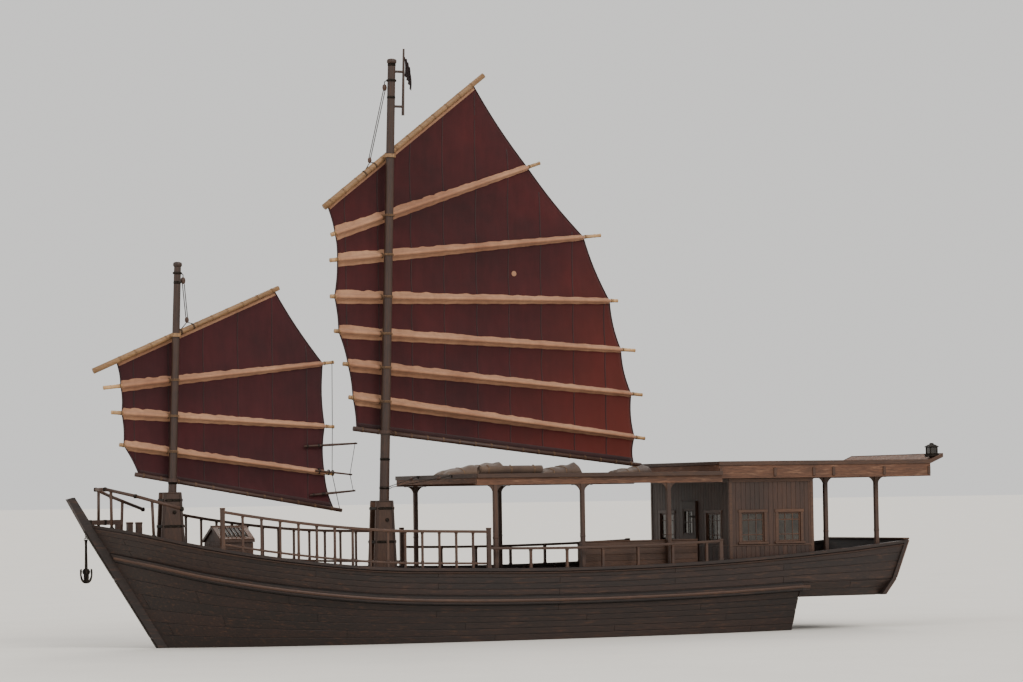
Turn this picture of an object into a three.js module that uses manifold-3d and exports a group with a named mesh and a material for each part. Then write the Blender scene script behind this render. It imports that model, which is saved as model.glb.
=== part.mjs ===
// Two-masted wooden junk with battened lug sails, a deck canopy, a cabin and a stern gallery.
// Millimetres. +X is the bow, +Y is port, +Z is up. The origin is on the waterline, on the
// centreline, at mid-length.
import * as THREE from "three";
import { mergeVertices } from "three/addons/utils/BufferGeometryUtils.js";
import Module from "manifold-3d";

const wasm = await Module();
wasm.setup();

// Driving dimensions

const GAP = 0.3; // air left where two pieces meet
const KEEL_BOTTOM = -1250;
const STEM_SLOPE = 0.637; // forward run of the stem for each unit of rise
const STEM_BACK_X = 8210; // back of the stem at the waterline
const STEM_FRONT_X = 8440;
const BULWARK_THICK = 70;
const CAP_HEIGHT = 60;
const DECK_THICK = 50;
const WALE_OUT = 60;
const MAST_SIDES = 32;
const PIN_SIDES = 24;
const SHOE_THICK = 55;

const CANOPY = { fore: 1710, aft: -4499.7, half: 2300, under: 3480, panel: 3640, top: 3710 };
const CANOPY_POST = { xs: [1250, -920, -3110], y: 2220, size: 90 };
const ROOF = { fore: -4500, bend: -10210, aft: -10540, half: 2100, under: 3560, panel: 3860 };
const ROOF_TOP = 3930;
const ROOF_TIP = 4080;
const AFT_POST = { xs: [-7550, -8930], y: 1700, size: 90 };
const CABIN = { fore: -4850, aft: -7050, half: 1950, wall: 60 };
const DOOR = { half: 340, top: 3020, thick: 45, lap: 30, frontY: 0, backY: 1050 };
const WINDOW = { bottom: 2080, top: 2760, half: 340, frontYs: [-1160, 1160], backYs: [-1160, -80] };
const HATCH = { fore: 6000, aft: 4700, half: 560, top: 1600, wall: 60, lap: 40 };
const SKYLIGHT = { fore: 7120, aft: 6380, half: 520, eaves: 2350, ridge: 2650, lap: 40 };

const SHAFT_Z = -750;
const PROPELLER = { hubFore: -6662, hubAft: -6890, hubR: 80, shaftR: 30 };
const RUDDER = { x: -7300, stockR: 60, bladeFore: -7130, bladeAft: -8150, top: -90 };

// foot and head are X and Z on the mast's centreline. clothY is the port face of the sail, which
// hangs to starboard of the mast.
const MAIN = { name: "main", foot: [3060, 1040], head: [2660, 13230], footR: 120, headR: 90, clothY: -250 };
const FORE = { name: "fore", foot: [8120, 1700], head: [7880, 8500], footR: 100, headR: 78, clothY: -215 };

// Rows of values under named columns.
const table = (names, rows) => rows.map((row) => Object.fromEntries(names.map((key, i) => [key, row[i]])));

// Spars of each sail from the head down, in the plane of the sail. luff and leech are where the
// cloth ends, and luffEnd and leechEnd are how far the spar runs past them.
const SPAR_COLUMNS = ["node", "luff", "leech", "luffEnd", "leechEnd", "r", "collar"];
const MAIN_SPARS = table(SPAR_COLUMNS, [
  ["main_yard", [4190, 9900], [530, 12770], 130, 330, 70, true],
  ["main_batten_1", [4000, 9240], [-840, 10870], 130, 330, 46, false],
  ["main_batten_2", [3950, 8640], [-2270, 9270], 210, 440, 46, false],
  ["main_batten_3", [4030, 7800], [-2930, 7780], 130, 200, 46, false],
  ["main_batten_4", [3940, 7010], [-3210, 6630], 130, 360, 46, false],
  ["main_batten_5", [3720, 6260], [-3460, 5590], 150, 280, 46, false],
  ["main_batten_6", [3610, 5500], [-3530, 4570], 130, 260, 46, false],
  ["main_boom", [3530, 4790], [-3510, 3930], 110, 160, 55, true],
]);
const FORE_SPARS = table(SPAR_COLUMNS, [
  ["fore_yard", [9250, 6330], [5530, 7930], 600, 110, 62, true],
  ["fore_batten_1", [9150, 5770], [4370, 6280], 420, 260, 42, false],
  ["fore_batten_2", [9130, 5170], [4340, 4860], 260, 220, 42, false],
  ["fore_batten_3", [9090, 4460], [4360, 3810], 120, 220, 42, false],
  ["fore_boom", [8740, 3800], [4140, 2990], 120, 180, 48, true],
]);
const CLOTH = { thick: 14, slit: 34, edge: 110, tab: 60, tabStep: 1150 };

// Half sections of the hull from the stern forward. x is on the waterline, and a station leans
// forward by rake for each unit of rise.
const STATIONS = table(
  ["x", "rake", "keelZ", "bilgeY", "bilgeZ", "waterY", "deckY", "deckZ", "sheerY", "sheerZ"],
  [
    [-6600, 0, -300, 1100, -210, 1640, 2150, 1130, 2190, 1800],
    [-4600, 0, -780, 1480, -520, 2020, 2320, 1060, 2370, 1690],
    [-2400, 0, -1000, 1650, -680, 2180, 2420, 1010, 2470, 1620],
    [-200, 0, -1060, 1680, -700, 2200, 2440, 1000, 2500, 1600],
    [2000, 0.02, -1060, 1560, -680, 2100, 2400, 1030, 2465, 1640],
    [4000, 0.1, -1040, 1250, -640, 1800, 2230, 1120, 2330, 1710],
    [5750, 0.25, -1010, 820, -610, 1300, 1880, 1340, 2040, 1940],
    [7000, 0.42, -990, 430, -590, 800, 1400, 1620, 1600, 2240],
    [7800, 0.56, -970, 180, -570, 380, 780, 1920, 920, 2550],
    [STEM_BACK_X, STEM_SLOPE, -950, 82, -560, 82, 82, 2110, 84, 2720],
  ],
);
// Edge of the stern gallery aft of the transom, from aft forward.
const GALLERY = table(
  ["baseX", "baseY", "deckX", "deckY", "deckZ", "sheerX", "sheerY", "sheerZ"],
  [
    [-8930, 1700, -9230, 1830, 1150, -9600, 1860, 2040],
    [-8000, 1880, -8000, 2020, 1140, -8000, 2060, 1900],
    [-6600.4, 2000, -6600.4, 2150, 1130, -6600.4, 2190, 1800],
  ],
);
const GALLERY_BOTTOM = 780;
const FAIRING = 3; // rows drawn for each station

// Sections of a propeller blade. x and y are half of its chord.
const BLADE = table(
  ["radius", "x", "y", "thick"],
  [
    [50, 30, 45, 12],
    [220, 70, 120, 11],
    [320, 50, 105, 9],
    [370, 15, 30, 7],
  ],
);

// Materials

const wood = (color) => new THREE.MeshStandardMaterial({ color, roughness: 0.75, flatShading: true });
const fabric = (color) => new THREE.MeshStandardMaterial({ color, roughness: 0.95, flatShading: true });
const metal = (color, roughness) => new THREE.MeshStandardMaterial({ color, roughness, metalness: 0.85 });
const PAINT = {
  hull: wood(0x241913),
  deck: wood(0x6b4a2f),
  timber: wood(0x3a261a),
  spar: wood(0xb98e5e),
  mast: wood(0x33221a),
  roof: wood(0x54331f),
  cloth: fabric(0x5c1f1f),
  canvas: fabric(0x8a7a63),
  iron: metal(0x2c2b2a, 0.6),
  bronze: metal(0x9c6b3a, 0.4),
};

// Solids

const vec = (p) => new THREE.Vector3(...p);
const lerp = (a, b, t) => a + (b - a) * t;
const join = (...parts) => wasm.Manifold.union(parts.flat());

// A closed geometry, moved by a matrix, as a solid that can be joined and cut.
function solidOf(geometry, place = new THREE.Matrix4()) {
  const bare = new THREE.BufferGeometry();
  bare.setAttribute("position", geometry.getAttribute("position"));
  bare.setIndex(geometry.index);
  const merged = mergeVertices(bare, 1e-3).applyMatrix4(place);
  const vertProperties = merged.getAttribute("position").array;
  const triVerts = new Uint32Array(merged.index.array);
  if (place.determinant() < 0) triVerts.reverse();
  return new wasm.Manifold(new wasm.Mesh({ numProp: 3, vertProperties, triVerts }));
}

function geometryOf(solid) {
  const mesh = solid.getMesh();
  const geometry = new THREE.BufferGeometry();
  geometry.setAttribute("position", new THREE.BufferAttribute(mesh.vertProperties, 3));
  geometry.setIndex(new THREE.BufferAttribute(mesh.triVerts, 1));
  return geometry;
}

const moved = (solid, place) => solidOf(geometryOf(solid), place);
const mirrored = (solid) => moved(solid, new THREE.Matrix4().makeScale(1, -1, 1));

function box(x0, x1, y0, y1, z0, z1) {
  const block = new THREE.BoxGeometry(Math.abs(x1 - x0), Math.abs(y1 - y0), Math.abs(z1 - z0));
  const centre = [(x0 + x1) / 2, (y0 + y1) / 2, (z0 + z1) / 2];
  return solidOf(block, new THREE.Matrix4().makeTranslation(...centre));
}

// A bar between two points with n sides. One side looks along Y unless the bar runs along Y.
function rod(from, to, r0, r1 = r0, n = 8) {
  const run = vec(to).sub(vec(from));
  const bar = new THREE.CylinderGeometry(r1, r0, run.length(), n, 1, false, Math.PI / n);
  const along = run.clone().normalize();
  const side = Math.abs(along.y) > 0.9 ? vec([0, 0, 1]) : vec([0, 1, 0]);
  side.addScaledVector(along, -side.dot(along)).normalize();
  const place = new THREE.Matrix4().makeBasis(along.clone().cross(side), along, side);
  place.setPosition(vec(from).addScaledVector(run, 0.5));
  return solidOf(bar, place);
}

// A plate with its outline in X and Z, between two values of Y.
function plate(outline, y0, y1) {
  const shape = new THREE.Shape(outline.map(([x, z]) => new THREE.Vector2(x, z)));
  const slab = new THREE.ExtrudeGeometry(shape, { depth: Math.abs(y1 - y0), bevelEnabled: false });
  const upright = new THREE.Matrix4().makeRotationX(Math.PI / 2);
  return solidOf(slab, upright.setPosition(0, Math.max(y0, y1), 0));
}

// A closed solid through rings of equal length. The two axes in flat span the plane of a ring.
function loft(rings, flat = [1, 2]) {
  const count = rings[0].length;
  const last = (rings.length - 1) * count;
  const faces = [];
  for (let i = 0; i < last; i += count)
    for (let j = 0; j < count; j++) {
      const k = (j + 1) % count;
      faces.push([i + j, i + k, i + j + count], [i + k, i + k + count, i + j + count]);
    }
  for (const [a, b, c] of capOf(rings[0], flat)) faces.push([c, b, a]);
  for (const [a, b, c] of capOf(rings.at(-1), flat)) faces.push([last + a, last + b, last + c]);
  const geometry = new THREE.BufferGeometry();
  geometry.setAttribute("position", new THREE.Float32BufferAttribute(rings.flat(2), 3));
  geometry.setIndex(faces.flat());
  const solid = solidOf(geometry);
  if (solid.volume() > 0) return solid;
  return solidOf(geometry.setIndex(faces.flat().reverse()));
}

// Triangles over a ring, turned the way the ring runs.
function capOf(ring, flat) {
  const points = ring.map((p) => new THREE.Vector2(p[flat[0]], p[flat[1]]));
  const way = Math.sign(THREE.ShapeUtils.area(points));
  return THREE.ShapeUtils.triangulateShape(points, []).map(([a, b, c]) => {
    const same = Math.sign(THREE.ShapeUtils.area([points[a], points[b], points[c]])) === way;
    return same ? [a, b, c] : [a, c, b];
  });
}

// Fair lines

function fair(rows, key, t) {
  const last = rows.length - 1;
  const i = Math.min(last - 1, Math.floor(t));
  const at = (k) => rows[Math.max(0, Math.min(last, k))][key];
  const [a, b, c, d] = [at(i - 1), at(i), at(i + 1), at(i + 2)];
  const s = t - i;
  const square = 2 * a - 5 * b + 4 * c - d;
  const cube = 3 * b - a - 3 * c + d;
  return 0.5 * (2 * b + (c - a) * s + square * s * s + cube * s ** 3);
}

function fairRows(rows, steps) {
  const keys = Object.keys(rows[0]);
  const out = [];
  for (let k = 0; k <= (rows.length - 1) * steps; k++)
    out.push(Object.fromEntries(keys.map((key) => [key, fair(rows, key, k / steps)])));
  return out;
}

const HULL_ROWS = fairRows(STATIONS, FAIRING);
const edgeOf = (s) => ({
  deckX: s.x + s.rake * s.deckZ,
  deckY: s.deckY,
  deckZ: s.deckZ,
  sheerX: s.x + s.rake * s.sheerZ,
  sheerY: s.sheerY,
  sheerZ: s.sheerZ,
  rake: s.rake,
});
// Deck edge and top of the bulwark from the stern board to the stem.
const EDGE_ROWS = [
  ...GALLERY.slice(0, 2).map((g) => ({ ...g, rake: (g.sheerX - g.deckX) / (g.sheerZ - g.deckZ) })),
  ...HULL_ROWS.map(edgeOf),
];

function edgeAt(x, keyX, key) {
  for (let i = 0; i + 1 < EDGE_ROWS.length; i++) {
    const a = EDGE_ROWS[i];
    const b = EDGE_ROWS[i + 1];
    if (x <= b[keyX]) return lerp(a[key], b[key], (x - a[keyX]) / (b[keyX] - a[keyX]));
  }
  return EDGE_ROWS.at(-1)[key];
}
const sheerY = (x) => edgeAt(x, "sheerX", "sheerY");
const sheerZ = (x) => edgeAt(x, "sheerX", "sheerZ");
const deckTop = (x) => edgeAt(x, "deckX", "deckZ") + DECK_THICK + GAP;

// Hull, keel and stem

const lean = (s, y, z) => [s.x + s.rake * z, y, z];

function hullRing(s) {
  const half = [
    lean(s, s.deckY, s.deckZ),
    lean(s, s.deckY + WALE_OUT, s.deckZ - 20),
    lean(s, s.deckY + WALE_OUT - 8, s.deckZ - 190),
    lean(s, lerp(s.deckY, s.waterY, 0.22), s.deckZ - 210),
    lean(s, lerp(s.deckY, s.waterY, 0.62), s.deckZ * 0.42),
    lean(s, s.waterY, 0),
    lean(s, lerp(s.bilgeY, s.waterY, 0.72), s.bilgeZ * 0.55),
    lean(s, s.bilgeY, s.bilgeZ),
    lean(s, 80, s.keelZ),
  ];
  const other = half.map(([x, y, z]) => [x, -y, z]).reverse();
  return [...half, ...other];
}

function makeKeel() {
  const bar = loft(
    HULL_ROWS.map((s) => [
      lean(s, 80, s.keelZ - GAP),
      lean(s, 80, KEEL_BOTTOM),
      lean(s, -80, KEEL_BOTTOM),
      lean(s, -80, s.keelZ - GAP),
    ]),
  );
  const boss = rod([-6250, 0, SHAFT_Z], [-6650, 0, SHAFT_Z], 120, 105, 12);
  const shoe = box(-7400, -6590, -55, 55, KEEL_BOTTOM, KEEL_BOTTOM + SHOE_THICK);
  const bore = (PROPELLER.shaftR + 0.4) / Math.cos(Math.PI / PIN_SIDES);
  const shaftHole = rod([-6340, 0, SHAFT_Z], [-6700, 0, SHAFT_Z], bore, bore, PIN_SIDES);
  const heelHole = rod([RUDDER.x, 0, KEEL_BOTTOM - 10], [RUDDER.x, 0, KEEL_BOTTOM + 90], 32, 32, 12);
  return join(bar, boss, shoe).subtract(shaftHole).subtract(heelHole);
}

function makeStem() {
  const back = (z) => STEM_BACK_X + STEM_SLOPE * z + 0.5;
  const front = (z) => STEM_FRONT_X + STEM_SLOPE * z;
  const outline = [
    [back(KEEL_BOTTOM), KEEL_BOTTOM],
    [front(KEEL_BOTTOM), KEEL_BOTTOM],
    [front(2620), 2620],
    [10490, 3290],
    [10330, 3330],
    [back(2760), 2760],
  ];
  return plate(outline, -85, 85);
}

// Deck, bulwarks and gallery

const rudderTrunk = () => rod([RUDDER.x, 0, 700], [RUDDER.x, 0, 1500], RUDDER.stockR + 6, undefined, 16);

function makeDeck() {
  const ring = (s) => {
    const y = Math.max(9, s.deckY - BULWARK_THICK - 0.5);
    const low = s.deckZ + GAP;
    const high = s.deckZ + DECK_THICK;
    const at = (side, z) => [s.deckX + s.rake * (z - s.deckZ), side, z];
    return [at(y, high), at(y, low), at(-y, low), at(-y, high)];
  };
  return loft(EDGE_ROWS.map(ring)).subtract(rudderTrunk());
}

// Everything below the top of the deck, which cuts the feet of the pieces that stand on it.
function belowDeck() {
  const ring = (s) => {
    const y = s.deckY + 400;
    const top = s.deckZ + DECK_THICK + GAP;
    const at = (side, z) => [s.deckX + s.rake * (z - s.deckZ), side, z];
    return [at(y, top), at(y, -600), at(-y, -600), at(-y, top)];
  };
  return loft(EDGE_ROWS.map(ring));
}

function bulwarkRing(s) {
  const foot = s.deckZ + GAP;
  const under = s.sheerZ - CAP_HEIGHT;
  const at = (y, z) => [s.deckX + s.rake * (z - s.deckZ), Math.max(10, y), z];
  return [
    at(s.deckY, foot),
    at(s.sheerY, under),
    at(s.sheerY + 40, under),
    at(s.sheerY + 40, s.sheerZ),
    at(s.sheerY - 115, s.sheerZ),
    at(s.sheerY - 115, under),
    at(s.sheerY - BULWARK_THICK, under),
    at(s.deckY - BULWARK_THICK, foot),
  ];
}

function makeGallery() {
  const ring = (g) => [
    [g.deckX, g.deckY, g.deckZ],
    [g.baseX, g.baseY, GALLERY_BOTTOM],
    [g.baseX, -g.baseY, GALLERY_BOTTOM],
    [g.deckX, -g.deckY, g.deckZ],
  ];
  return loft(GALLERY.map(ring)).subtract(rudderTrunk());
}

function makeSternBoard() {
  const g = GALLERY[0];
  const outline = [
    [g.baseX - 0.5, GALLERY_BOTTOM],
    [g.deckX - 0.5, g.deckZ],
    [g.sheerX - 0.5, g.sheerZ],
    [g.sheerX - 0.5, g.sheerZ + 40],
    [g.sheerX - 85, g.sheerZ + 40],
    [g.deckX - 85, g.deckZ],
    [g.baseX - 85, GALLERY_BOTTOM],
  ];
  return plate(outline, -(g.sheerY + 40), g.sheerY + 40);
}

const BELOW_DECK = belowDeck();
const BULWARK = loft(EDGE_ROWS.map(bulwarkRing));
// The bulwarks raised by the gap, which cut the feet of the pieces that stand on their caps.
const OVER_CAP = moved(join(BULWARK, mirrored(BULWARK)), new THREE.Matrix4().makeTranslation(0, 0, GAP));

// Rails

// A rail that follows the top of the bulwark between two values of X.
function capRail(x0, x1, height, wide, tall, steps) {
  const rings = [];
  for (let i = 0; i <= steps; i++) {
    const x = lerp(x0, x1, i / steps);
    const y = sheerY(x) - 38;
    const z = sheerZ(x) + height;
    rings.push([
      [x, y + wide / 2, z],
      [x, y + wide / 2, z - tall],
      [x, y - wide / 2, z - tall],
      [x, y - wide / 2, z],
    ]);
  }
  return loft(rings);
}

function capPost(x, height, size) {
  const y = sheerY(x) - 38;
  const half = size / 2;
  return box(x - half, x + half, y - half, y + half, sheerZ(x) - 40, sheerZ(x) + height);
}

function makeBalustrade() {
  const parts = [
    capRail(1480, 7560, 840, 75, 55, 12),
    capRail(1480, 7560, 130, 45, 40, 12),
    capRail(-4420, 1560, 470, 75, 50, 8),
  ];
  for (let x = 1900; x < 7400; x += 400) parts.push(capPost(x, 800, 46));
  for (let x = -4000; x < 1400; x += 900) parts.push(capPost(x, 440, 55));
  for (const [x, height] of [[7520, 880], [1520, 880], [-4380, 470]]) parts.push(capPost(x, height, 85));
  return join(parts).subtract(OVER_CAP);
}

function makeBowRail() {
  const side = [
    [8300, 1290, 3050],
    [9200, 830, 3340],
    [9720, 325, 3500],
  ];
  const bars = [rod(side[0], side[1], 34), rod(side[1], side[2], 34)];
  const knees = side.map((p) => {
    const knee = new THREE.SphereGeometry(38, 8, 6);
    return solidOf(knee, new THREE.Matrix4().makeTranslation(...p));
  });
  const rises = [8880, 9620].map((x) => {
    const [a, b] = x < side[1][0] ? [side[0], side[1]] : [side[1], side[2]];
    const t = (x - a[0]) / (b[0] - a[0]);
    const foot = [x, sheerY(x) - 62, sheerZ(x) - 40];
    return rod(foot, [x, lerp(a[1], b[1], t), lerp(a[2], b[2], t)], 30);
  });
  const half = join(bars, knees, rises).subtract(OVER_CAP);
  const front = rod([9720, -325, 3500], [9720, 325, 3500], 34);
  return join(half, mirrored(half), front);
}

// Masts and sails

// Share of the way up a mast, and its centreline there.
const mastShare = (mast, z) => (z - mast.foot[1]) / (mast.head[1] - mast.foot[1]);
const mastX = (mast, z) => lerp(mast.foot[0], mast.head[0], mastShare(mast, z));

function makeMast(mast) {
  const low = mast.foot[1] - 200;
  const foot = [mastX(mast, low), 0, low];
  const head = [mast.head[0], 0, mast.head[1]];
  return rod(foot, head, mast.footR, mast.headR, MAST_SIDES).subtract(BELOW_DECK);
}

function makeMainMast() {
  const staff = rod([2400, 0, 11950], [2360, 0, 13480], 34, 24);
  const brackets = [12150, 12950].map((z) => rod([mastX(MAIN, z), 0, z], [2385, 0, z], 30));
  return join(makeMast(MAIN), staff, brackets);
}

// Two cheeks beside the mast, wider at the foot, with blocks between them.
function makeTabernacle(mast, top) {
  const x = mastX(mast, mast.foot[1]);
  const inner = mast.footR + 4;
  const low = mast.foot[1] - 200;
  const outline = [
    [x - 330, low],
    [x + 310, low],
    [x + 200, top],
    [x - 220, top],
  ];
  const cheek = plate(outline, inner, inner + 65);
  const blocks = [-1, 1].map((s) => {
    const mid = x - 10 + s * (inner + 62);
    return box(mid - 50, mid + 50, -inner - 5, inner + 5, low, mast.foot[1] + 620);
  });
  return join(cheek, mirrored(cheek), blocks).subtract(BELOW_DECK);
}

// Spar of a sail. Its starboard side lies on the cloth.
function makeSpar(mast, spar) {
  const run = new THREE.Vector2(spar.leech[0] - spar.luff[0], spar.leech[1] - spar.luff[1]).normalize();
  const thin = spar.r * 0.85;
  const point = (end, past, r) => [
    end[0] + run.x * past,
    mast.clothY + GAP + r * Math.cos(Math.PI / 8),
    end[1] + run.y * past,
  ];
  const from = point(spar.luff, -spar.luffEnd, spar.r);
  const bar = rod(from, point(spar.leech, spar.leechEnd, thin), spar.r, thin);
  if (!spar.collar) return bar;
  const cross = (mastX(mast, spar.luff[1]) - spar.luff[0]) / run.x;
  return withCollar(mast, bar, spar.luff[1] + run.y * cross, mast.clothY + spar.r);
}

// Adds the collar that carries a spar on its mast and turns with it.
function withCollar(mast, bar, z, barY) {
  const lift = (dz) => [mastX(mast, z + dz), 0, z + dz];
  const radius = lerp(mast.footR, mast.headR, mastShare(mast, z));
  const bore = (radius + 0.35) / Math.cos(Math.PI / MAST_SIDES);
  const outside = rod(lift(-40), lift(40), bore + 32, bore + 32, 24);
  const inside = rod(lift(-240), lift(240), bore, bore, MAST_SIDES);
  const reach = box(mastX(mast, z) - 70, mastX(mast, z) + 70, barY, -bore - 4, z - 38, z + 38);
  return join(bar, outside, reach).subtract(inside);
}

// Cloth laid on the starboard faces of the spars, slit above and below each batten.
function makeSail(mast, spars) {
  const outline = [...spars.map((s) => s.luff), ...spars.map((s) => s.leech).reverse()];
  const face = mast.clothY;
  const cloth = plate(outline, face - CLOTH.thick, face);
  const slits = [];
  for (const spar of spars.slice(1, -1)) {
    const [a, b] = [spar.luff, spar.leech];
    const length = Math.hypot(b[0] - a[0], b[1] - a[1]);
    const count = Math.round((length - 2 * CLOTH.edge) / CLOTH.tabStep);
    const pitch = (length - 2 * CLOTH.edge + CLOTH.tab) / count;
    const tall = spar.r + CLOTH.slit;
    for (let i = 0; i < count; i++) {
      const s0 = (CLOTH.edge + i * pitch) / length;
      const s1 = s0 + (pitch - CLOTH.tab) / length;
      const at = (s, up) => [lerp(a[0], b[0], s), lerp(a[1], b[1], s) + up];
      slits.push(plate([at(s0, -tall), at(s0, tall), at(s1, tall), at(s1, -tall)], face + 9, face - 30));
    }
  }
  return cloth.subtract(join(slits));
}

// Canopy, cabin and roof

function makeCanopy() {
  const c = CANOPY;
  const half = CANOPY_POST.size / 2;
  const y = CANOPY_POST.y;
  const parts = [box(c.aft, c.fore, -c.half, c.half, c.panel, c.top)];
  for (const s of [-1, 1])
    parts.push(box(c.aft, c.fore, s * (y - half), s * (y + half), c.under, c.panel + 5));
  for (const x of [c.fore - 45, ...CANOPY_POST.xs, c.aft + 46])
    parts.push(box(x - half, x + half, -y, y, c.under + 40, c.panel + 5));
  return join(parts);
}

function makeRoof() {
  const r = ROOF;
  const outline = [
    [r.fore, r.panel],
    [r.fore, ROOF_TOP],
    [r.bend, ROOF_TOP],
    [r.aft, ROOF_TIP],
    [r.aft + 20, ROOF_TIP - 75],
    [r.bend - 10, r.panel],
  ];
  const parts = [plate(outline, -r.half, r.half)];
  for (const s of [-1, 1])
    parts.push(box(r.bend, r.fore, s * (r.half - 90), s * r.half, r.under, r.panel + 5));
  for (const x of [r.fore - 45, -5980, -7020, -7550, -8930, r.bend + 45])
    parts.push(box(x - 45, x + 45, 20 - r.half, r.half - 20, r.under, r.panel + 5));
  return join(parts);
}

function makePost(x, y, size, top) {
  const half = size / 2;
  return box(x - half, x + half, y - half, y + half, 900, top - GAP).subtract(BELOW_DECK);
}

function makeCabinEnd(x0, x1, doorY, windowYs) {
  const wall = box(x0, x1, -CABIN.half, CABIN.half, 400, ROOF.under - GAP);
  const holes = [box(x0 - 10, x1 + 10, doorY - DOOR.half, doorY + DOOR.half, 300, DOOR.top)];
  for (const y of windowYs)
    holes.push(box(x0 - 10, x1 + 10, y - WINDOW.half, y + WINDOW.half, WINDOW.bottom, WINDOW.top));
  return wall.subtract(join(holes)).subtract(BELOW_DECK);
}

function makeCabinSide() {
  const c = CABIN;
  const [aft, fore] = [c.aft + c.wall + GAP, c.fore - c.wall - GAP];
  const wall = box(aft, fore, c.half - c.wall, c.half, 400, ROOF.under - GAP);
  const holes = [-5450, -6420].map((x) => box(x - 300, x + 300, 1800, 2000, WINDOW.bottom, WINDOW.top));
  return wall.subtract(join(holes)).subtract(BELOW_DECK);
}

// Leaf lapped over the outside of its doorway, hinged on its port edge.
function makeDoor(x0, x1, y) {
  const half = DOOR.half + DOOR.lap;
  const foot = Math.max(deckTop(x0), deckTop(x1)) + 12;
  const leaf = box(x0, x1, y - half, y + half, foot, DOOR.top + DOOR.lap);
  return leaf.subtract(box(x0 - 10, x1 + 10, y - 200, y + 200, 2300, 2800));
}

// Deck furniture

// Bench along the bulwark. Its back, where it has one, starts at the second canopy post.
function makeBench(hasBack) {
  const parts = [box(-3900, -300, 1640, 2120, 1440, 1490)];
  if (hasBack) parts.push(box(-3900, -900, 2070, 2120, 1440, 2160));
  for (const x of [-3880, -2100, -360]) parts.push(box(x, x + 60, 1680, 2110, 900, 1460));
  return join(parts).subtract(BELOW_DECK);
}

function makeBitts() {
  const parts = [-1, 1].map((s) => box(8890, 9010, s * 250, s * 370, 1400, 2750));
  parts.push(rod([8950, -520, 2400], [8950, 520, 2400], 55, 55, 10));
  return join(parts).subtract(BELOW_DECK);
}

function makeHatch() {
  const h = HATCH;
  const inside = box(h.aft + h.wall, h.fore - h.wall, h.wall - h.half, h.half - h.wall, 800, h.top + 100);
  return box(h.aft, h.fore, -h.half, h.half, 900, h.top).subtract(inside).subtract(BELOW_DECK);
}

function makeLid() {
  const h = HATCH;
  const wide = h.half + h.lap;
  const board = box(h.aft - h.lap, h.fore + h.lap, -wide, wide, h.top + GAP, h.top + 50);
  const ribs = [4900, 5700].map((x) => box(x, x + 80, -h.half, h.half, h.top + 45, h.top + 80));
  return join(board, ribs);
}

// Fixed skylight with a low gabled top that laps over its sides.
function makeSkylight() {
  const s = SKYLIGHT;
  const section = (x, half, low, eaves, ridge) => [
    [x, half, low],
    [x, half, eaves],
    [x, 0, ridge],
    [x, -half, eaves],
    [x, -half, low],
  ];
  const trunk = [s.aft, s.fore].map((x) => section(x, s.half, 900, s.eaves, s.ridge - 40));
  const top = [s.aft - s.lap, s.fore + s.lap].map((x) => [
    [x, s.half + s.lap, s.eaves - 60],
    [x, s.half + s.lap, s.eaves],
    [x, 0, s.ridge],
    [x, -s.half - s.lap, s.eaves],
    [x, -s.half - s.lap, s.eaves - 60],
    [x, 0, s.ridge - 60],
  ]);
  return join(loft(trunk), loft(top)).subtract(BELOW_DECK);
}

// Ground tackle, propeller and rudder

function makeCathead() {
  const beam = box(9150, 10080, -290, -190, 2720, 2830);
  const foot = box(9200, 9300, -290, -190, 1800, 2740);
  return join(beam, foot).subtract(join(BELOW_DECK, OVER_CAP));
}

// Folding grapnel with four arms, which hangs from the cathead.
function makeAnchor() {
  const [x, y] = [9980, -240];
  const link = box(x - 20, x + 20, y - 26, y + 26, 2440, 2719.7);
  const shank = rod([x, y, 2480], [x, y, 1460], 34, 42);
  const collar = rod([x, y, 1560], [x, y, 1640], 58);
  const arms = [];
  for (const [dx, dy] of [[1, 0], [-1, 0], [0, 1], [0, -1]]) {
    const out = (reach, z) => [x + dx * reach, y + dy * reach, z];
    arms.push(rod(out(0, 1470), out(90, 1500), 32, 28), rod(out(90, 1500), out(128, 1760), 28, 18));
    const [wideX, wideY] = [12 + 38 * Math.abs(dy), 12 + 38 * Math.abs(dx)];
    const [px, py] = out(116, 0);
    arms.push(box(px - wideX, px + wideX, py - wideY, py + wideY, 1640, 1720));
  }
  return join(link, shank, collar, arms);
}

function makePropeller() {
  const p = PROPELLER;
  const centre = vec([(p.hubFore + p.hubAft) / 2, 0, SHAFT_Z]);
  const blade = loft(
    BLADE.map((b) => [
      [-b.x - b.thick / 2, -b.y, b.radius],
      [b.thick / 2 - b.x, -b.y, b.radius],
      [b.x + b.thick / 2, b.y, b.radius],
      [b.x - b.thick / 2, b.y, b.radius],
    ]),
    [0, 1],
  );
  const turned = (degrees) => {
    const turn = new THREE.Matrix4().makeRotationX(THREE.MathUtils.degToRad(degrees));
    return moved(blade, turn.setPosition(centre));
  };
  const hub = rod([p.hubFore, 0, SHAFT_Z], [p.hubAft, 0, SHAFT_Z], p.hubR, p.hubR * 0.6, 12);
  const shaft = rod([-6400, 0, SHAFT_Z], [p.hubAft, 0, SHAFT_Z], p.shaftR, p.shaftR, PIN_SIDES);
  return join(hub, shaft, [0, 120, 240].map(turned));
}

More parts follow.
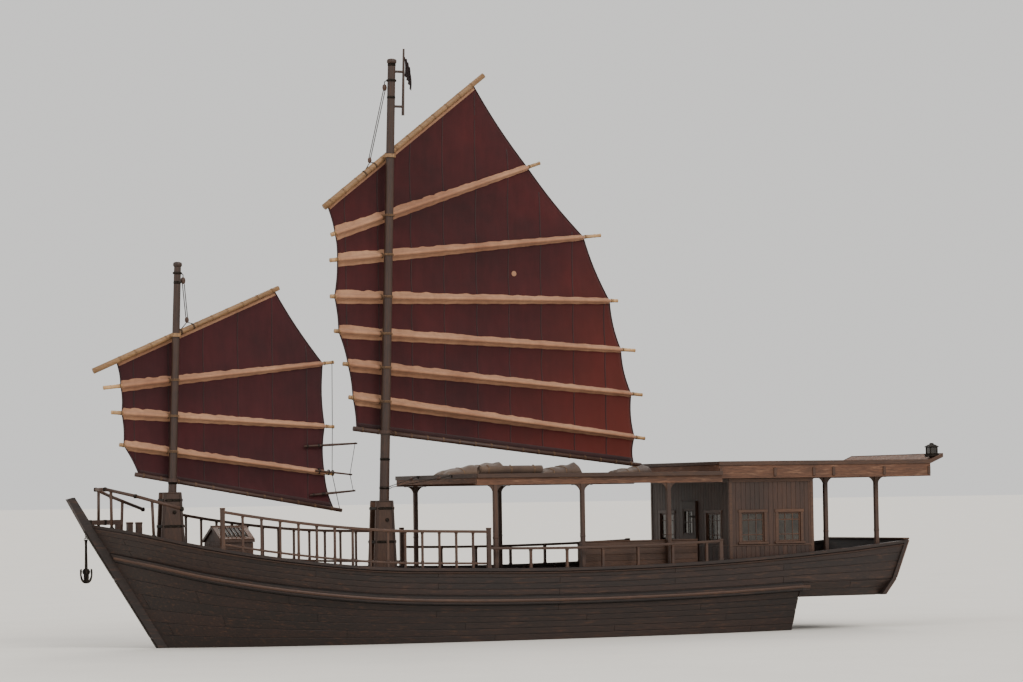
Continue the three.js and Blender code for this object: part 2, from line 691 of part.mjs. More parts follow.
function makeRudder() {
  const r = RUDDER;
  const outline = [
    [r.bladeFore, KEEL_BOTTOM + 75],
    [r.bladeFore, r.top - 60],
    [r.bladeFore - 60, r.top],
    [r.bladeAft + 180, r.top],
    [r.bladeAft, r.top - 320],
    [r.bladeAft, KEEL_BOTTOM + 180],
    [r.bladeAft + 110, KEEL_BOTTOM + 75],
  ];
  const pin = rod([r.x, 0, KEEL_BOTTOM + 15], [r.x, 0, KEEL_BOTTOM + 120], 27, 27, 12);
  const stock = rod([r.x, 0, KEEL_BOTTOM + SHOE_THICK + GAP], [r.x, 0, 1760], r.stockR, r.stockR, 16);
  const head = box(r.x - 110, r.x + 110, -95, 95, 1600, 1730);
  const tiller = rod([r.x - 60, 0, 1680], [r.x - 1350, 0, 1800], 42, 28);
  return join(plate(outline, -42, 42), pin, stock, head, tiller);
}

// Assembly

const group = new THREE.Group();
group.name = "junk";

// A group of pieces with its origin at a point of the boat.
function assemblyAt(x, y, z) {
  const assembly = new THREE.Group();
  assembly.position.set(x, y, z);
  group.add(assembly);
  return assembly;
}

// Adds a solid to an assembly as a mesh with its own origin.
function add(assembly, name, solid, material, origin = assembly.position) {
  const geometry = geometryOf(solid).translate(-origin.x, -origin.y, -origin.z);
  geometry.computeVertexNormals();
  const piece = new THREE.Mesh(geometry, material);
  piece.name = name;
  piece.position.copy(origin).sub(assembly.position);
  assembly.add(piece);
  return piece;
}

// Adds a solid to port and its mirror image to starboard.
function addPair(assembly, nameOf, solid, material) {
  add(assembly, nameOf("port"), solid, material);
  add(assembly, nameOf("starboard"), solid, material).scale.y = -1;
}

const shell = assemblyAt(0, 0, 0);
add(shell, "hull", loft(HULL_ROWS.map(hullRing)), PAINT.hull);
add(shell, "keel", makeKeel(), PAINT.hull);
add(shell, "stem_post", makeStem(), PAINT.hull);
add(shell, "deck", makeDeck(), PAINT.deck);
addPair(shell, (side) => `bulwark_${side}`, BULWARK, PAINT.hull);
add(shell, "gallery", makeGallery(), PAINT.hull);
add(shell, "stern_board", makeSternBoard(), PAINT.hull);

const fittings = assemblyAt(0, 0, DECK_THICK);
addPair(fittings, (side) => `balustrade_${side}`, makeBalustrade(), PAINT.timber);
add(fittings, "bench_port", makeBench(true), PAINT.timber);
add(fittings, "bench_starboard", makeBench(false), PAINT.timber).scale.y = -1;
add(fittings, "bow_rail", makeBowRail(), PAINT.timber);
add(fittings, "mooring_bitts", makeBitts(), PAINT.timber);
add(fittings, "cathead", makeCathead(), PAINT.timber);
add(fittings, "anchor", makeAnchor(), PAINT.iron, vec([9980, -240, 2720]));
add(fittings, "skylight", makeSkylight(), PAINT.timber);
add(fittings, "hatch_coaming", makeHatch(), PAINT.timber);
add(fittings, "hatch_lid", makeLid(), PAINT.timber, vec([HATCH.aft - HATCH.lap, 0, HATCH.top + GAP]));

for (const [mast, top] of [[MAIN, 3150], [FORE, 3400]]) {
  const step = assemblyAt(mast.foot[0], 0, mast.foot[1]);
  add(step, `${mast.name}_mast`, mast === MAIN ? makeMainMast() : makeMast(mast), PAINT.mast);
  add(step, `${mast.name}_tabernacle`, makeTabernacle(mast, top), PAINT.timber);
}
for (const [mast, spars] of [[MAIN, MAIN_SPARS], [FORE, FORE_SPARS]]) {
  const rig = assemblyAt(mast.foot[0], 0, mast.foot[1]);
  for (const spar of spars) add(rig, spar.node, makeSpar(mast, spar), PAINT.spar);
  add(rig, `${mast.name}_sail`, makeSail(mast, spars), PAINT.cloth);
}

const shade = assemblyAt(CANOPY.fore, 0, CANOPY.under);
const rollZ = CANOPY.top + 105.5;
add(shade, "canopy_roof", makeCanopy(), PAINT.roof);
add(shade, "awning_roll", rod([1050, 900, rollZ], [-560, 900, rollZ], 114, 110), PAINT.canvas);
CANOPY_POST.xs.forEach((x, i) => {
  const post = makePost(x, CANOPY_POST.y, CANOPY_POST.size, CANOPY.under);
  addPair(shade, (side) => `canopy_post_${side}_${i + 1}`, post, PAINT.timber);
});

const house = assemblyAt(CABIN.fore, 0, ROOF.under);
const frontX = CABIN.fore + GAP;
const backX = CABIN.aft - GAP;
const hinge = (x, y) => vec([x, y + DOOR.half + DOOR.lap, DOOR.top]);
const doorFront = makeDoor(frontX, frontX + DOOR.thick, DOOR.frontY);
const doorBack = makeDoor(backX - DOOR.thick, backX, DOOR.backY);
const endFront = makeCabinEnd(CABIN.fore - CABIN.wall, CABIN.fore, DOOR.frontY, WINDOW.frontYs);
const endBack = makeCabinEnd(CABIN.aft, CABIN.aft + CABIN.wall, DOOR.backY, WINDOW.backYs);
add(house, "roof_deck", makeRoof(), PAINT.roof);
add(house, "cabin_front", endFront, PAINT.timber);
add(house, "cabin_back", endBack, PAINT.timber);
addPair(house, (side) => `cabin_side_${side}`, makeCabinSide(), PAINT.timber);
add(house, "cabin_door_front", doorFront, PAINT.timber, hinge(frontX, DOOR.frontY));
add(house, "cabin_door_back", doorBack, PAINT.timber, hinge(backX, DOOR.backY));
AFT_POST.xs.forEach((x, i) => {
  const post = makePost(x, AFT_POST.y, AFT_POST.size, ROOF.under);
  addPair(house, (side) => `aft_post_${side}_${i + 1}`, post, PAINT.timber);
});

const steering = assemblyAt(RUDDER.x, 0, 0);
add(steering, "rudder", makeRudder(), PAINT.timber);
const drive = assemblyAt(PROPELLER.hubFore, 0, SHAFT_Z);
add(drive, "propeller", makePropeller(), PAINT.bronze);

export default group;
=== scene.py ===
"""Looks of the two-masted wooden junk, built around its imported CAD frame. Metres, +X bow, +Y port."""
import math
from collections import namedtuple

import bmesh
import bpy
from mathutils import Matrix, Vector


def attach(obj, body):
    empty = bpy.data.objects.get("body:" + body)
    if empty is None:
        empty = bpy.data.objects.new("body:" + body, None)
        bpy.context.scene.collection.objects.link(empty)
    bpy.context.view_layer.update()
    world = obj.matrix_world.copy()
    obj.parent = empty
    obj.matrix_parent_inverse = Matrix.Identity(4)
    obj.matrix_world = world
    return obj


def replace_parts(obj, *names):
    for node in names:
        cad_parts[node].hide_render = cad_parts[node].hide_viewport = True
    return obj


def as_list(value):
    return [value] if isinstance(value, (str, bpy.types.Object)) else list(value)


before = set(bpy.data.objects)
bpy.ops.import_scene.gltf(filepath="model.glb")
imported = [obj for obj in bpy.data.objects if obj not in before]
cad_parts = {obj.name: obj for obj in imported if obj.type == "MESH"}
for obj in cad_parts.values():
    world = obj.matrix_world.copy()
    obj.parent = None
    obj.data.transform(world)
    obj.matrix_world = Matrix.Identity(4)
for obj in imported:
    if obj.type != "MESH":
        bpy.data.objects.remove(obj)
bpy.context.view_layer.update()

# Camera: the photograph's place, with the lens closed in on the boat.
EYE = Vector((33.81, 72.50, 3.15))
AIM = Vector((-0.21, 0.10, 6.80))
ROLL_DEG = 0.85
LENS_MM = 122.1
SENSOR_MM = 36.0


def linked(name, data):
    """A new object in the scene."""
    obj = bpy.data.objects.new(name, data)
    bpy.context.scene.collection.objects.link(obj)
    return obj


camera = bpy.data.cameras.new("camera")
camera.lens = LENS_MM
camera.sensor_width = SENSOR_MM
camera.clip_end = 6000.0
camera_object = linked("camera", camera)
look = (AIM - EYE).to_track_quat("-Z", "Y").to_matrix().to_4x4()
roll = Matrix.Rotation(math.radians(-ROLL_DEG), 4, "Z")
camera_object.matrix_world = Matrix.Translation(EYE) @ look @ roll
bpy.context.scene.camera = camera_object


# Materials

EVEN = (1.0, 1.0, 1.0)


def rgb(code):
    """Linear colour from a hex code."""
    parts = [int(code[i:i + 2], 16) / 255 for i in (0, 2, 4)]
    return tuple(p / 12.92 if p <= 0.04045 else ((p + 0.055) / 1.055) ** 2.4 for p in parts)


class Shader:
    """A material's node tree, with short calls for the nodes used here."""

    def __init__(self, name, roughness, metallic=0.0):
        self.mat = bpy.data.materials.new(name)
        self.mat.use_nodes = True
        self.nodes = self.mat.node_tree.nodes
        self.bsdf = self.nodes["Principled BSDF"]
        self.bsdf.inputs["Roughness"].default_value = roughness
        self.bsdf.inputs["Metallic"].default_value = metallic

    def feed(self, socket, value):
        """Joins an output to a socket, or sets the socket to a value."""
        if hasattr(value, "is_output"):
            self.mat.node_tree.links.new(value, socket)
        else:
            socket.default_value = value

    def add(self, kind, inputs, **settings):
        """A new node. inputs maps its sockets to values, or to outputs to join."""
        node = self.nodes.new("ShaderNode" + kind)
        for key, value in settings.items():
            setattr(node, key, value)
        for key, value in inputs.items():
            self.feed(node.inputs[key], value)
        return node

    def coords(self, scale=EVEN):
        place = self.add("TexCoord", {}).outputs["Object"]
        return self.add("Mapping", {"Vector": place, "Scale": scale}).outputs["Vector"]

    def noise(self, scale, size, detail, rough=0.55):
        inputs = {"Vector": self.coords(scale), "Scale": size, "Detail": detail, "Roughness": rough}
        return self.add("TexNoise", inputs).outputs["Fac"]

    def wave(self, size, distortion, direction):
        inputs = {"Vector": self.coords(), "Scale": size, "Distortion": distortion}
        return self.add("TexWave", inputs, bands_direction=direction).outputs["Fac"]

    def ramp(self, value, *stops):
        """A colour between two stops, each with its place."""
        node = self.add("ValToRGB", {"Fac": value})
        for element, (place, colour) in zip(node.color_ramp.elements, stops):
            element.position = place
            element.color = (*colour, 1.0)
        return node.outputs["Color"]

    def grey(self, value, low, high):
        """value from 0 to 1, drawn out from low to high."""
        return self.add("MapRange", {"Value": value, "To Min": low, "To Max": high}).outputs["Result"]

    def mix(self, factor, a, b, blend="MIX"):
        a, b = (v if hasattr(v, "is_output") else (*v, 1.0) for v in (a, b))
        node = self.add("Mix", {"Factor": factor, 6: a, 7: b}, data_type="RGBA", blend_type=blend)
        return node.outputs[2]

    def choose(self, mask, a, b):
        """a where the mask is 0, and b where it is 1."""
        return self.add("Mix", {0: mask, 2: a, 3: b}, data_type="FLOAT").outputs[0]

    def calc(self, operation, a, b=0.0, clamp=False):
        return self.add("Math", {0: a, 1: b}, operation=operation, use_clamp=clamp).outputs[0]

    def facing(self, axis):
        """1 on faces that look along an axis, and 0 elsewhere."""
        split = self.add("SeparateXYZ", {0: self.add("TexCoord", {}).outputs["Normal"]})
        return self.calc("GREATER_THAN", self.calc("ABSOLUTE", split.outputs[axis]), 0.7)

    def bump(self, strength, distance, *heights):
        """One bump over another for each height and its share of the strength."""
        inputs = {"Distance": distance}
        for value, share in heights:
            inputs.update({"Height": value, "Strength": strength * share})
            inputs["Normal"] = self.add("Bump", inputs).outputs["Normal"]
        self.feed(self.bsdf.inputs["Normal"], inputs["Normal"])

    def done(self, colour, roughness=None):
        self.feed(self.bsdf.inputs["Base Color"], colour)
        if roughness is not None:
            self.feed(self.bsdf.inputs["Roughness"], roughness)
        return self.mat


def stretched(axis):
    """Noise scales that draw the grain out along an axis."""
    return [0.9 if i == axis else 9.0 for i in range(3)]


def wood(name, dark, light, along, roughness, bump=0.35, wear=None, spread=0.35, cross=None):
    """Boards with grain along one axis. Each separate board has a tone of its own.

    Faces that look along that axis belong to beams that lie the other way, with grain along cross.
    """
    s = Shader(name, roughness)
    turned = None if cross is None else s.facing(along)

    def fibres(size, detail, rough):
        """Noise drawn out along the grain."""
        streaks = s.noise(stretched(along), size, detail, rough)
        if cross is None:
            return streaks
        return s.choose(turned, streaks, s.noise(stretched(cross), size, detail, rough))

    grain = fibres(6.0, 8.0, 0.65)
    blotch = s.noise(EVEN, 0.9, 3.0)
    island = s.add("NewGeometry", {}).outputs["Random Per Island"]
    base = s.ramp(grain, (0.28, rgb(dark)), (0.72, rgb(light)))
    tone = s.ramp(island, (0.0, (1 - spread,) * 3), (1.0, (1.0 + spread * 0.35,) * 3))
    stain = s.ramp(blotch, (0.35, (0.62, 0.6, 0.6)), (0.65, EVEN))
    colour = s.mix(0.75, s.mix(1.0, base, tone, "MULTIPLY"), stain, "MULTIPLY")
    if wear:
        colour = s.mix(s.grey(fibres(2.1, 6.0, 0.7), -2.7, 2.3), colour, rgb(wear))
    s.bump(bump, 0.01, (grain, 1.0), (blotch, 0.3))
    return s.done(colour, s.grey(grain, roughness + 0.15, roughness - 0.1))


def canvas(name, dark, light, weave, through, painted_glow=None):
    """Woven cloth with fading and some light through it. Its last colour: a painted sun glow at the lower
    leech.
    """
    s = Shader(name, 0.95)
    s.bsdf.inputs["Sheen Weight"].default_value = 0.15
    fade = s.noise(EVEN, 0.75, 5.0, 0.6)
    streak = s.noise((5.0, 5.0, 0.8), 1.6, 5.0, 0.6)
    weft, warp = (s.wave(weave, 0.6, way) for way in "XZ")
    stain = s.ramp(streak, (0.3, (0.72, 0.7, 0.7)), (0.7, (1.05, 1.05, 1.05)))
    colour = s.mix(0.7, s.ramp(fade, (0.3, rgb(dark)), (0.7, rgb(light))), stain, "MULTIPLY")
    # Painted light: towards the lower leech the colour is blended into a glow of sun shining through the
    # cloth.
    if painted_glow:
        split = s.add("SeparateXYZ", {0: s.coords((-0.085, 0.0, -0.05))})
        total = s.calc("ADD", split.outputs["X"], split.outputs["Z"])
        colour = s.mix(s.calc("ADD", total, 0.3, True), colour, rgb(painted_glow))
    s.bump(0.3, 0.004, (weft, 0.6), (warp, 0.6), (streak, 1.0))
    s.done(colour)
    if through:
        lit = s.add("BsdfTranslucent", {"Color": colour}).outputs[0]
        both = s.add("MixShader", {0: through, 1: s.bsdf.outputs[0], 2: lit})
        s.feed(s.nodes["Material Output"].inputs["Surface"], both.outputs[0])
    return s.mat


def metal(name, dark, light, roughness):
    s = Shader(name, roughness, 0.9)
    spots = s.noise(EVEN, 14.0, 6.0, 0.7)
    s.bump(0.4, 0.004, (spots, 1.0))
    colour = s.ramp(spots, (0.35, rgb(dark)), (0.7, rgb(light)))
    return s.done(colour, s.grey(spots, roughness + 0.2, roughness - 0.1))


def rope(name, dark, light):
    s = Shader(name, 0.95)
    strand = s.wave(26.0, 1.5, "DIAGONAL")
    s.bump(0.5, 0.004, (strand, 1.0))
    return s.done(s.ramp(strand, (0.2, rgb(dark)), (0.8, rgb(light))))


# Wood: name, dark and light colour, axis of the grain, roughness, bump, colour of wear, spread of the boards'
# tones, and axis of the grain on beams that lie across.
MAT = {
    "hull": wood("hull_boards", "160b06", "2e190f", 0, 0.62, 0.45, "462b1a", 0.45, 1),
    "seam": wood("hull_seams", "100805", "1c1009", 0, 0.8),
    "hull_up": wood("upright_timbers", "25150c", "432a1a", 2, 0.62, 0.4, None, 0.35, 0),
    "deck": wood("deck_boards", "4f3622", "7f5c3e", 0, 0.68, 0.4, "9c7b59", 0.35),
    "timber": wood("dark_timber", "2f1b10", "543521", 2, 0.52, 0.35, None, 0.35, 0),
    "beam": wood("dark_beams", "2f1b10", "52331e", 0, 0.56, 0.35, None, 0.35, 1),
    "cross": wood("cross_beams", "2f1b10", "52331e", 1, 0.56, 0.35, None, 0.35, 0),
    "upright": wood("cabin_boards", "29170d", "482b1a", 2, 0.56, 0.4, None, 0.4),
    "trim": wood("cabin_trim", "341d10", "593821", 1, 0.48, 0.3, None, 0.3, 0),
    "roof_cross": wood("canopy_slats", "3f2616", "6b442b", 1, 0.68, 0.45, "84624a", 0.4, 0),
    "roof": wood("roof_boards", "42281a", "72492f", 0, 0.68, 0.45, "84624a", 0.4, 1),
    "mast": wood("mast_pole", "24140b", "452a19", 2, 0.48, 0.3),
    "spar": wood("bamboo_spar", "9c7448", "cfa878", 0, 0.5, 0.25),
    "yard": wood("yard_pole", "6e4e30", "a88258", 0, 0.55, 0.25),
    "boom": wood("boom_pole", "2c1a12", "4d3021", 0, 0.55, 0.25),
    # The main sail's last colour is a painted glow of sun through its lower leech.
    "main_sail": canvas("sail_canvas", "320e11", "4a1517", 140.0, 0.2, "82301a"),
    "fore_sail": canvas("fore_sail_canvas", "320f13", "47161a", 140.0, 0.2),
    # Pale tan painted as the glow of sun through the sleeves; the strip under the yard and the mend share it.
    "sleeve": canvas("batten_sleeves", "a8765a", "cf9f7c", 160.0, 0.3),
    "hem": canvas("sail_hems", "1f0b0b", "331313", 160.0, 0.05),
    "awning": canvas("awning_canvas", "41322a", "6a5646", 150.0, 0.0),
    "iron": metal("black_iron", "17130f", "3a332d", 0.6),
    "bronze": metal("dull_bronze", "5f4022", "a5763f", 0.4),
    "rope": rope("hemp_rope", "4a3526", "86684a"),
    "tarred": rope("tarred_rope", "15100c", "2d2119"),
}
for key, name, roughness, size, detail, low, high in (
    # The glass is dark with painted shade of the unlit rooms behind the panes.
    ("glass", "window_glass", 0.08, 5.0, 5.0, (0.3, "26221e"), (0.7, "4b443c")),
    ("floor", "studio_floor", 0.9, 0.4, 2.0, (0.2, "d8d4cd"), (0.8, "dedad3")),
):
    plain = Shader(name, roughness)
    specks = plain.noise(EVEN, size, detail)
    MAT[key] = plain.done(plain.ramp(specks, (low[0], rgb(low[1])), (high[0], rgb(high[1]))))
MAT["glass"].node_tree.nodes["Principled BSDF"].inputs["Transmission Weight"].default_value = 0.5


# Mesh building

SIDES = (1, -1)
AHEAD, PORT, UP = Vector((1, 0, 0)), Vector((0, 1, 0)), Vector((0, 0, 1))


def lerp(a, b, t):
    return a + (b - a) * t


def shares(n):
    """0 to 1 in n equal steps."""
    return [k / n for k in range(n + 1)]


def cells(a, b, n):
    """The ends of n equal stretches from a to b."""
    return [(lerp(a, b, k / n), lerp(a, b, (k + 1) / n)) for k in range(n)]


def spokes(u, v, n):
    """n vectors round a circle, from u towards v."""
    turns = [2 * math.pi * k / n for k in range(n)]
    return [u * math.cos(a) + v * math.sin(a) for a in turns]


def square_to(axis):
    """An axis as a unit vector, and two more at right angles to it."""
    axis = Vector(axis).normalized()
    u = axis.orthogonal().normalized()
    return axis, u, axis.cross(u)


class Kit:
    """Gathers closed shapes into one mesh."""

    def __init__(self):
        self.points = []
        self.faces = []

    def rings(self, rings, loop=False):
        """A skin through rings of equal length, closed at its ends or round on itself."""
        start, n, count = len(self.points), len(rings[0]), len(rings)
        for ring in rings:
            self.points += [tuple(p) for p in ring]
        for i in range(count if loop else count - 1):
            a, b = start + i * n, start + (i + 1) % count * n
            for j in range(n):
                k = (j + 1) % n
                self.faces.append((a + j, a + k, b + k, b + j))
        if not loop:
            self.faces.append(tuple(range(start + n - 1, start - 1, -1)))
            self.faces.append(tuple(range(start + (count - 1) * n, start + count * n)))

    def beam(self, a, b, wide, thick, side=PORT, cut=None):
        """A timber with chamfered edges. side is the way its width runs."""
        a, b = Vector(a), Vector(b)
        along = (b - a).normalized()
        u = (side - along * side.dot(along)).normalized()
        v = along.cross(u)
        w, t = wide / 2, thick / 2
        c = min(w, t) * 0.25 if cut is None else cut
        shape = [(w - c, t), (w, t - c), (w, c - t), (w - c, -t),
                 (c - w, -t), (-w, c - t), (-w, t - c), (c - w, t)]
        run = min(c, (b - a).length / 4)
        ends = [(a, 1 - c / w), (a + along * run, 1), (b - along * run, 1), (b, 1 - c / w)]
        self.rings([[p + (u * x + v * y) * k for x, y in shape] for p, k in ends])

    def box(self, a, b, cut):
        """A block with chamfered edges between two corners, its grain along its longest side."""
        lo, hi = (Vector([pick(pair) for pair in zip(a, b)]) for pick in (min, max))
        size = hi - lo
        long = max(range(3), key=lambda i: size[i])
        start, end, way = (lo + hi) / 2, (lo + hi) / 2, Vector((0, 0, 0))
        start[long], end[long], way[(long + 1) % 3] = lo[long], hi[long], 1
        self.beam(start, end, size[(long + 1) % 3], size[(long + 2) % 3], way, cut)

    def pad(self, x, y, half, low, high, cut):
        """A square block around an upright line."""
        self.box((x - half, y - half, low), (x + half, y + half, high), cut)

    def tube(self, points, radius, n=8, flat=1.0):
        """A round bar along a line. radius is one value or one for each point."""
        points = [Vector(p) for p in points]
        radii = radius if isinstance(radius, (list, tuple)) else [radius] * len(points)
        rings, u = [], None
        for i, p in enumerate(points):
            along = (points[min(i + 1, len(points) - 1)] - points[max(i - 1, 0)]).normalized()
            if u is None:
                u = PORT if abs(along.y) < 0.9 else UP
            u = (u - along * u.dot(along)).normalized()
            rings.append([p + d * radii[i] for d in spokes(u * flat, along.cross(u), n)])
        self.rings(rings)

    def hoop(self, centre, axis, radius, thick, n, m, wide=None):
        """A ring of round or flat section about an axis."""
        axis, u, v = square_to(axis)
        half = axis * (wide or thick) / 2
        circle = [(Vector(centre) + out * radius, out) for out in spokes(u, v, n)]
        self.rings([[p + d for d in spokes(out * thick / 2, half, m)] for p, out in circle], True)

    def lathe(self, centre, axis, profile, n):
        """A turned shape. profile is pairs of place along the axis and radius."""
        axis, u, v = square_to(axis)
        self.rings([[Vector(centre) + axis * s + d * r for d in spokes(u, v, n)] for s, r in profile])

    def plank(self, upper, lower, outward, proud, sunk=0.003, cut=0.006):
        """A board between two lines of points, standing proud of the surface that they lie on."""
        rings = []
        for a, b, n in zip(upper, lower, outward):
            across = b - a
            c = min(cut, across.length * 0.2)
            across.normalize()
            rings.append([a - n * sunk, a + n * (proud - c), a + across * c + n * proud,
                          b - across * c + n * proud, b + n * (proud - c), b - n * sunk])
        self.rings(rings)

    def slat(self, upper, lower, n, proud=0.010, cut=0.004):
        """A plank on a flat surface that faces along n."""
        upper, lower = ([Vector(p) for p in line] for line in (upper, lower))
        self.plank(upper, lower, [n] * len(upper), proud, 0.002, cut)

    def moulding(self, line, shape, side):
        """A section of y and z offsets carried along a line on one side of the boat."""
        self.rings([[(x, side * (y + dy), z + dz) for dy, dz in shape] for x, y, z in line])

    def make(self, name, mat, slot, body="boat", smooth=False):
        """The gathered shapes as a piece, with the faces of each turned outward."""
        mesh = bpy.data.meshes.new(name)
        mesh.from_pydata(self.points, [], self.faces)
        mesh.validate()
        mesh.materials.append(MAT[mat])
        for face in mesh.polygons:
            face.use_smooth = smooth
        work = bmesh.new()
        work.from_mesh(mesh)
        bmesh.ops.recalc_face_normals(work, faces=work.faces)
        work.to_mesh(mesh)
        work.free()
        obj = linked(name, mesh)
        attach(obj, body)
        return obj


def thin_sheet(name, grid, mat, slot, body="boat", thick=0.004):
    """One thin sheet of cloth from a grid of points."""
    kit, n = Kit(), len(grid[0])
    kit.points = [tuple(p) for row in grid for p in row]
    starts = [j * n + i for j in range(len(grid) - 1) for i in range(n - 1)]
    kit.faces = [(a, a + 1, a + n + 1, a + n) for a in starts]
    obj = kit.make(name, mat, slot, body, True)
    solid = obj.modifiers.new("thickness", "SOLIDIFY")
    solid.thickness, solid.offset = thick, 0.0
    return obj


# Lines of the hull, the same stations as the part's source.
Station = namedtuple("Station", "x rake keel_z bilge_y bilge_z water_y deck_y deck_z sheer_y sheer_z")
STATIONS = (
    (-6.600, 0, -0.300, 1.100, -0.210, 1.640, 2.150, 1.130, 2.190, 1.800),
    (-4.600, 0, -0.780, 1.480, -0.520, 2.020, 2.320, 1.060, 2.370, 1.690),
    (-2.400, 0, -1.000, 1.650, -0.680, 2.180, 2.420, 1.010, 2.470, 1.620),
    (-0.200, 0, -1.060, 1.680, -0.700, 2.200, 2.440, 1.000, 2.500, 1.600),
    (2.000, 0.02, -1.060, 1.560, -0.680, 2.100, 2.400, 1.030, 2.465, 1.640),
    (4.000, 0.1, -1.040, 1.250, -0.640, 1.800, 2.230, 1.120, 2.330, 1.710),
    (5.750, 0.25, -1.010, 0.820, -0.610, 1.300, 1.880, 1.340, 2.040, 1.940),
    (7.000, 0.42, -0.990, 0.430, -0.590, 0.800, 1.400, 1.620, 1.600, 2.240),
    (7.800, 0.56, -0.970, 0.180, -0.570, 0.380, 0.780, 1.920, 0.920, 2.550),
    (8.210, 0.637, -0.950, 0.082, -0.560, 0.082, 0.082, 2.110, 0.084, 2.720),
)
FAIRING = 3
Edge = namedtuple("Edge", "deck_x deck_y deck_z sheer_x sheer_y sheer_z")
# The stern gallery from aft forward: x and y of its base, and its edge.
GALLERY = [((x, y), Edge(*edge)) for x, y, *edge in (
    (-8.930, 1.700, -9.230, 1.830, 1.150, -9.600, 1.860, 2.040),
    (-8.000, 1.880, -8.000, 2.020, 1.140, -8.000, 2.060, 1.900),
    (-6.600, 2.000, -6.600, 2.150, 1.130, -6.600, 2.190, 1.800),
)]
GALLERY_BOTTOM = 0.780
DECK_THICK = 0.0503
MIDLINE = 0.012
SEAM = 0.004


def fair(column, t):
    """A measure of the hull t stations from aft, on a curve through the stations."""
    last = len(STATIONS) - 1
    i = min(last - 1, int(t))
    a, b, c, d = (STATIONS[max(0, min(last, k))][column] for k in range(i - 1, i + 3))
    s = t - i
    return 0.5 * (2 * b + (c - a) * s + (2 * a - 5 * b + 4 * c - d) * s * s
                  + (3 * b - a - 3 * c + d) * s ** 3)


ROWS = [Station(*(fair(column, k / FAIRING) for column in range(len(Station._fields))))
        for k in range((len(STATIONS) - 1) * FAIRING + 1)]
EDGES = [edge for base, edge in GALLERY[:2]]
EDGES += [Edge(s.x + s.rake * s.deck_z, s.deck_y, s.deck_z, s.x + s.rake * s.sheer_z, s.sheer_y, s.sheer_z)
          for s in ROWS]


def on_frame(edge, y, z):
    """A point in the raked plane of an edge."""
    t = (z - edge.deck_z) / (edge.sheer_z - edge.deck_z)
    return Vector((lerp(edge.deck_x, edge.sheer_x, t), y, z))


def edge_at(x, line, axis):
    """y or z of the boat's deck line or sheer at x."""
    for pair in zip(EDGES, EDGES[1:]):
        (x0, v0), (x1, v1) = ((getattr(e, line + "_x"), getattr(e, line + axis)) for e in pair)
        if x <= x1:
            return lerp(v0, v1, (x - x0) / (x1 - x0))
    return v1


def deck_y(x):
    return edge_at(x, "deck", "_y")


def deck_z(x):
    return edge_at(x, "deck", "_z") + DECK_THICK


def sheer_y(x):
    return edge_at(x, "sheer", "_y")


def sheer_z(x):
    return edge_at(x, "sheer", "_z")


def section(s):
    """Half section of the hull from below the wale to the keel."""
    at = [(lerp(s.deck_y, s.water_y, 0.22), s.deck_z - 0.21),
          (lerp(s.deck_y, s.water_y, 0.62), s.deck_z * 0.42),
          (s.water_y, 0.0),
          (lerp(s.bilge_y, s.water_y, 0.72), s.bilge_z * 0.55),
          (s.bilge_y, s.bilge_z),
          (0.08, s.keel_z)]
    return [Vector((s.x + s.rake * z, y, z)) for y, z in at]


def planked(kit, grid, proud, step, first=0, toward=PORT, sides=SIDES):
    """Lays a board between each pair of neighbouring lines of a grid[row][line], with staggered butts."""
    last = len(grid) - 1
    for line in range(len(grid[0]) - 1):
        cuts = sorted({0, last, *range(first + line * 4 % step, last, step)})
        for a, b in zip(cuts, cuts[1:]):
            upper, lower = ([row[k] for row in grid[a:b + 1]] for k in (line, line + 1))
            ways = []
            for i in range(len(upper)):
                j = min(i, len(upper) - 2)
                n = (upper[j + 1] - upper[j]).cross(lower[j] - upper[j]).normalized()
                ways.append(n if n.dot(toward) > 0 else -n)
            for row in (upper, lower):
                for end, near in ((0, 1), (-1, -2)):
                    row[end] = row[end] + (row[near] - row[end]).normalized() * SEAM
            gaps = [(q - p).normalized() * SEAM for p, q in zip(upper, lower)]
            upper = [p + gap for p, gap in zip(upper, gaps)]
            lower = [p - gap for p, gap in zip(lower, gaps)]
            for side in sides:
                rows = ([Vector((p.x, side * p.y, p.z)) for p in row] for row in (upper, lower, ways))
                kit.plank(*rows, proud)


def divided(points, counts):
    """Points along a bent line, each stretch divided into its count."""
    out = [points[0]]
    for a, b, n in zip(points, points[1:], counts):
        out += [a.lerp(b, t) for t in shares(n)[1:]]
    return out


# Boards on the hull, on both faces of the bulwarks and along their caps.
shell = Kit()
planked(shell, [divided(section(s), (3, 3, 3, 2, 5)) for s in ROWS], 0.012, 9)
shell.make("hull_planking", "hull", "hull_wood")

outside, inside, tops = [], [], []
for e in EDGES:
    foot, head = on_frame(e, e.deck_y, e.deck_z), on_frame(e, e.sheer_y, e.sheer_z - 0.06)
    foot.z += 0.012
    head.z -= 0.008
    outside.append(divided([foot, head], (4,)))
    foot = on_frame(e, max(e.deck_y - 0.07, MIDLINE), e.deck_z + 0.056)
    head = on_frame(e, max(e.sheer_y - 0.07, MIDLINE), e.sheer_z - 0.066)
    inside.append(divided([foot, head], (4,)))
    tops.append([Vector((e.sheer_x, max(e.sheer_y + out, MIDLINE), e.sheer_z)) for out in (0.041, -0.116)])
for name, grid, proud, step, first, toward in (
    ("bulwark_planking", outside, 0.012, 8, 3, PORT),
    ("bulwark_lining", inside[:-2], 0.008, 8, 5, -PORT),
    ("bulwark_caps", tops, 0.006, 7, 2, UP),
):
    boards = Kit()
    planked(boards, grid, proud, step, first, toward)
    boards.make(name, "hull", "hull_wood")

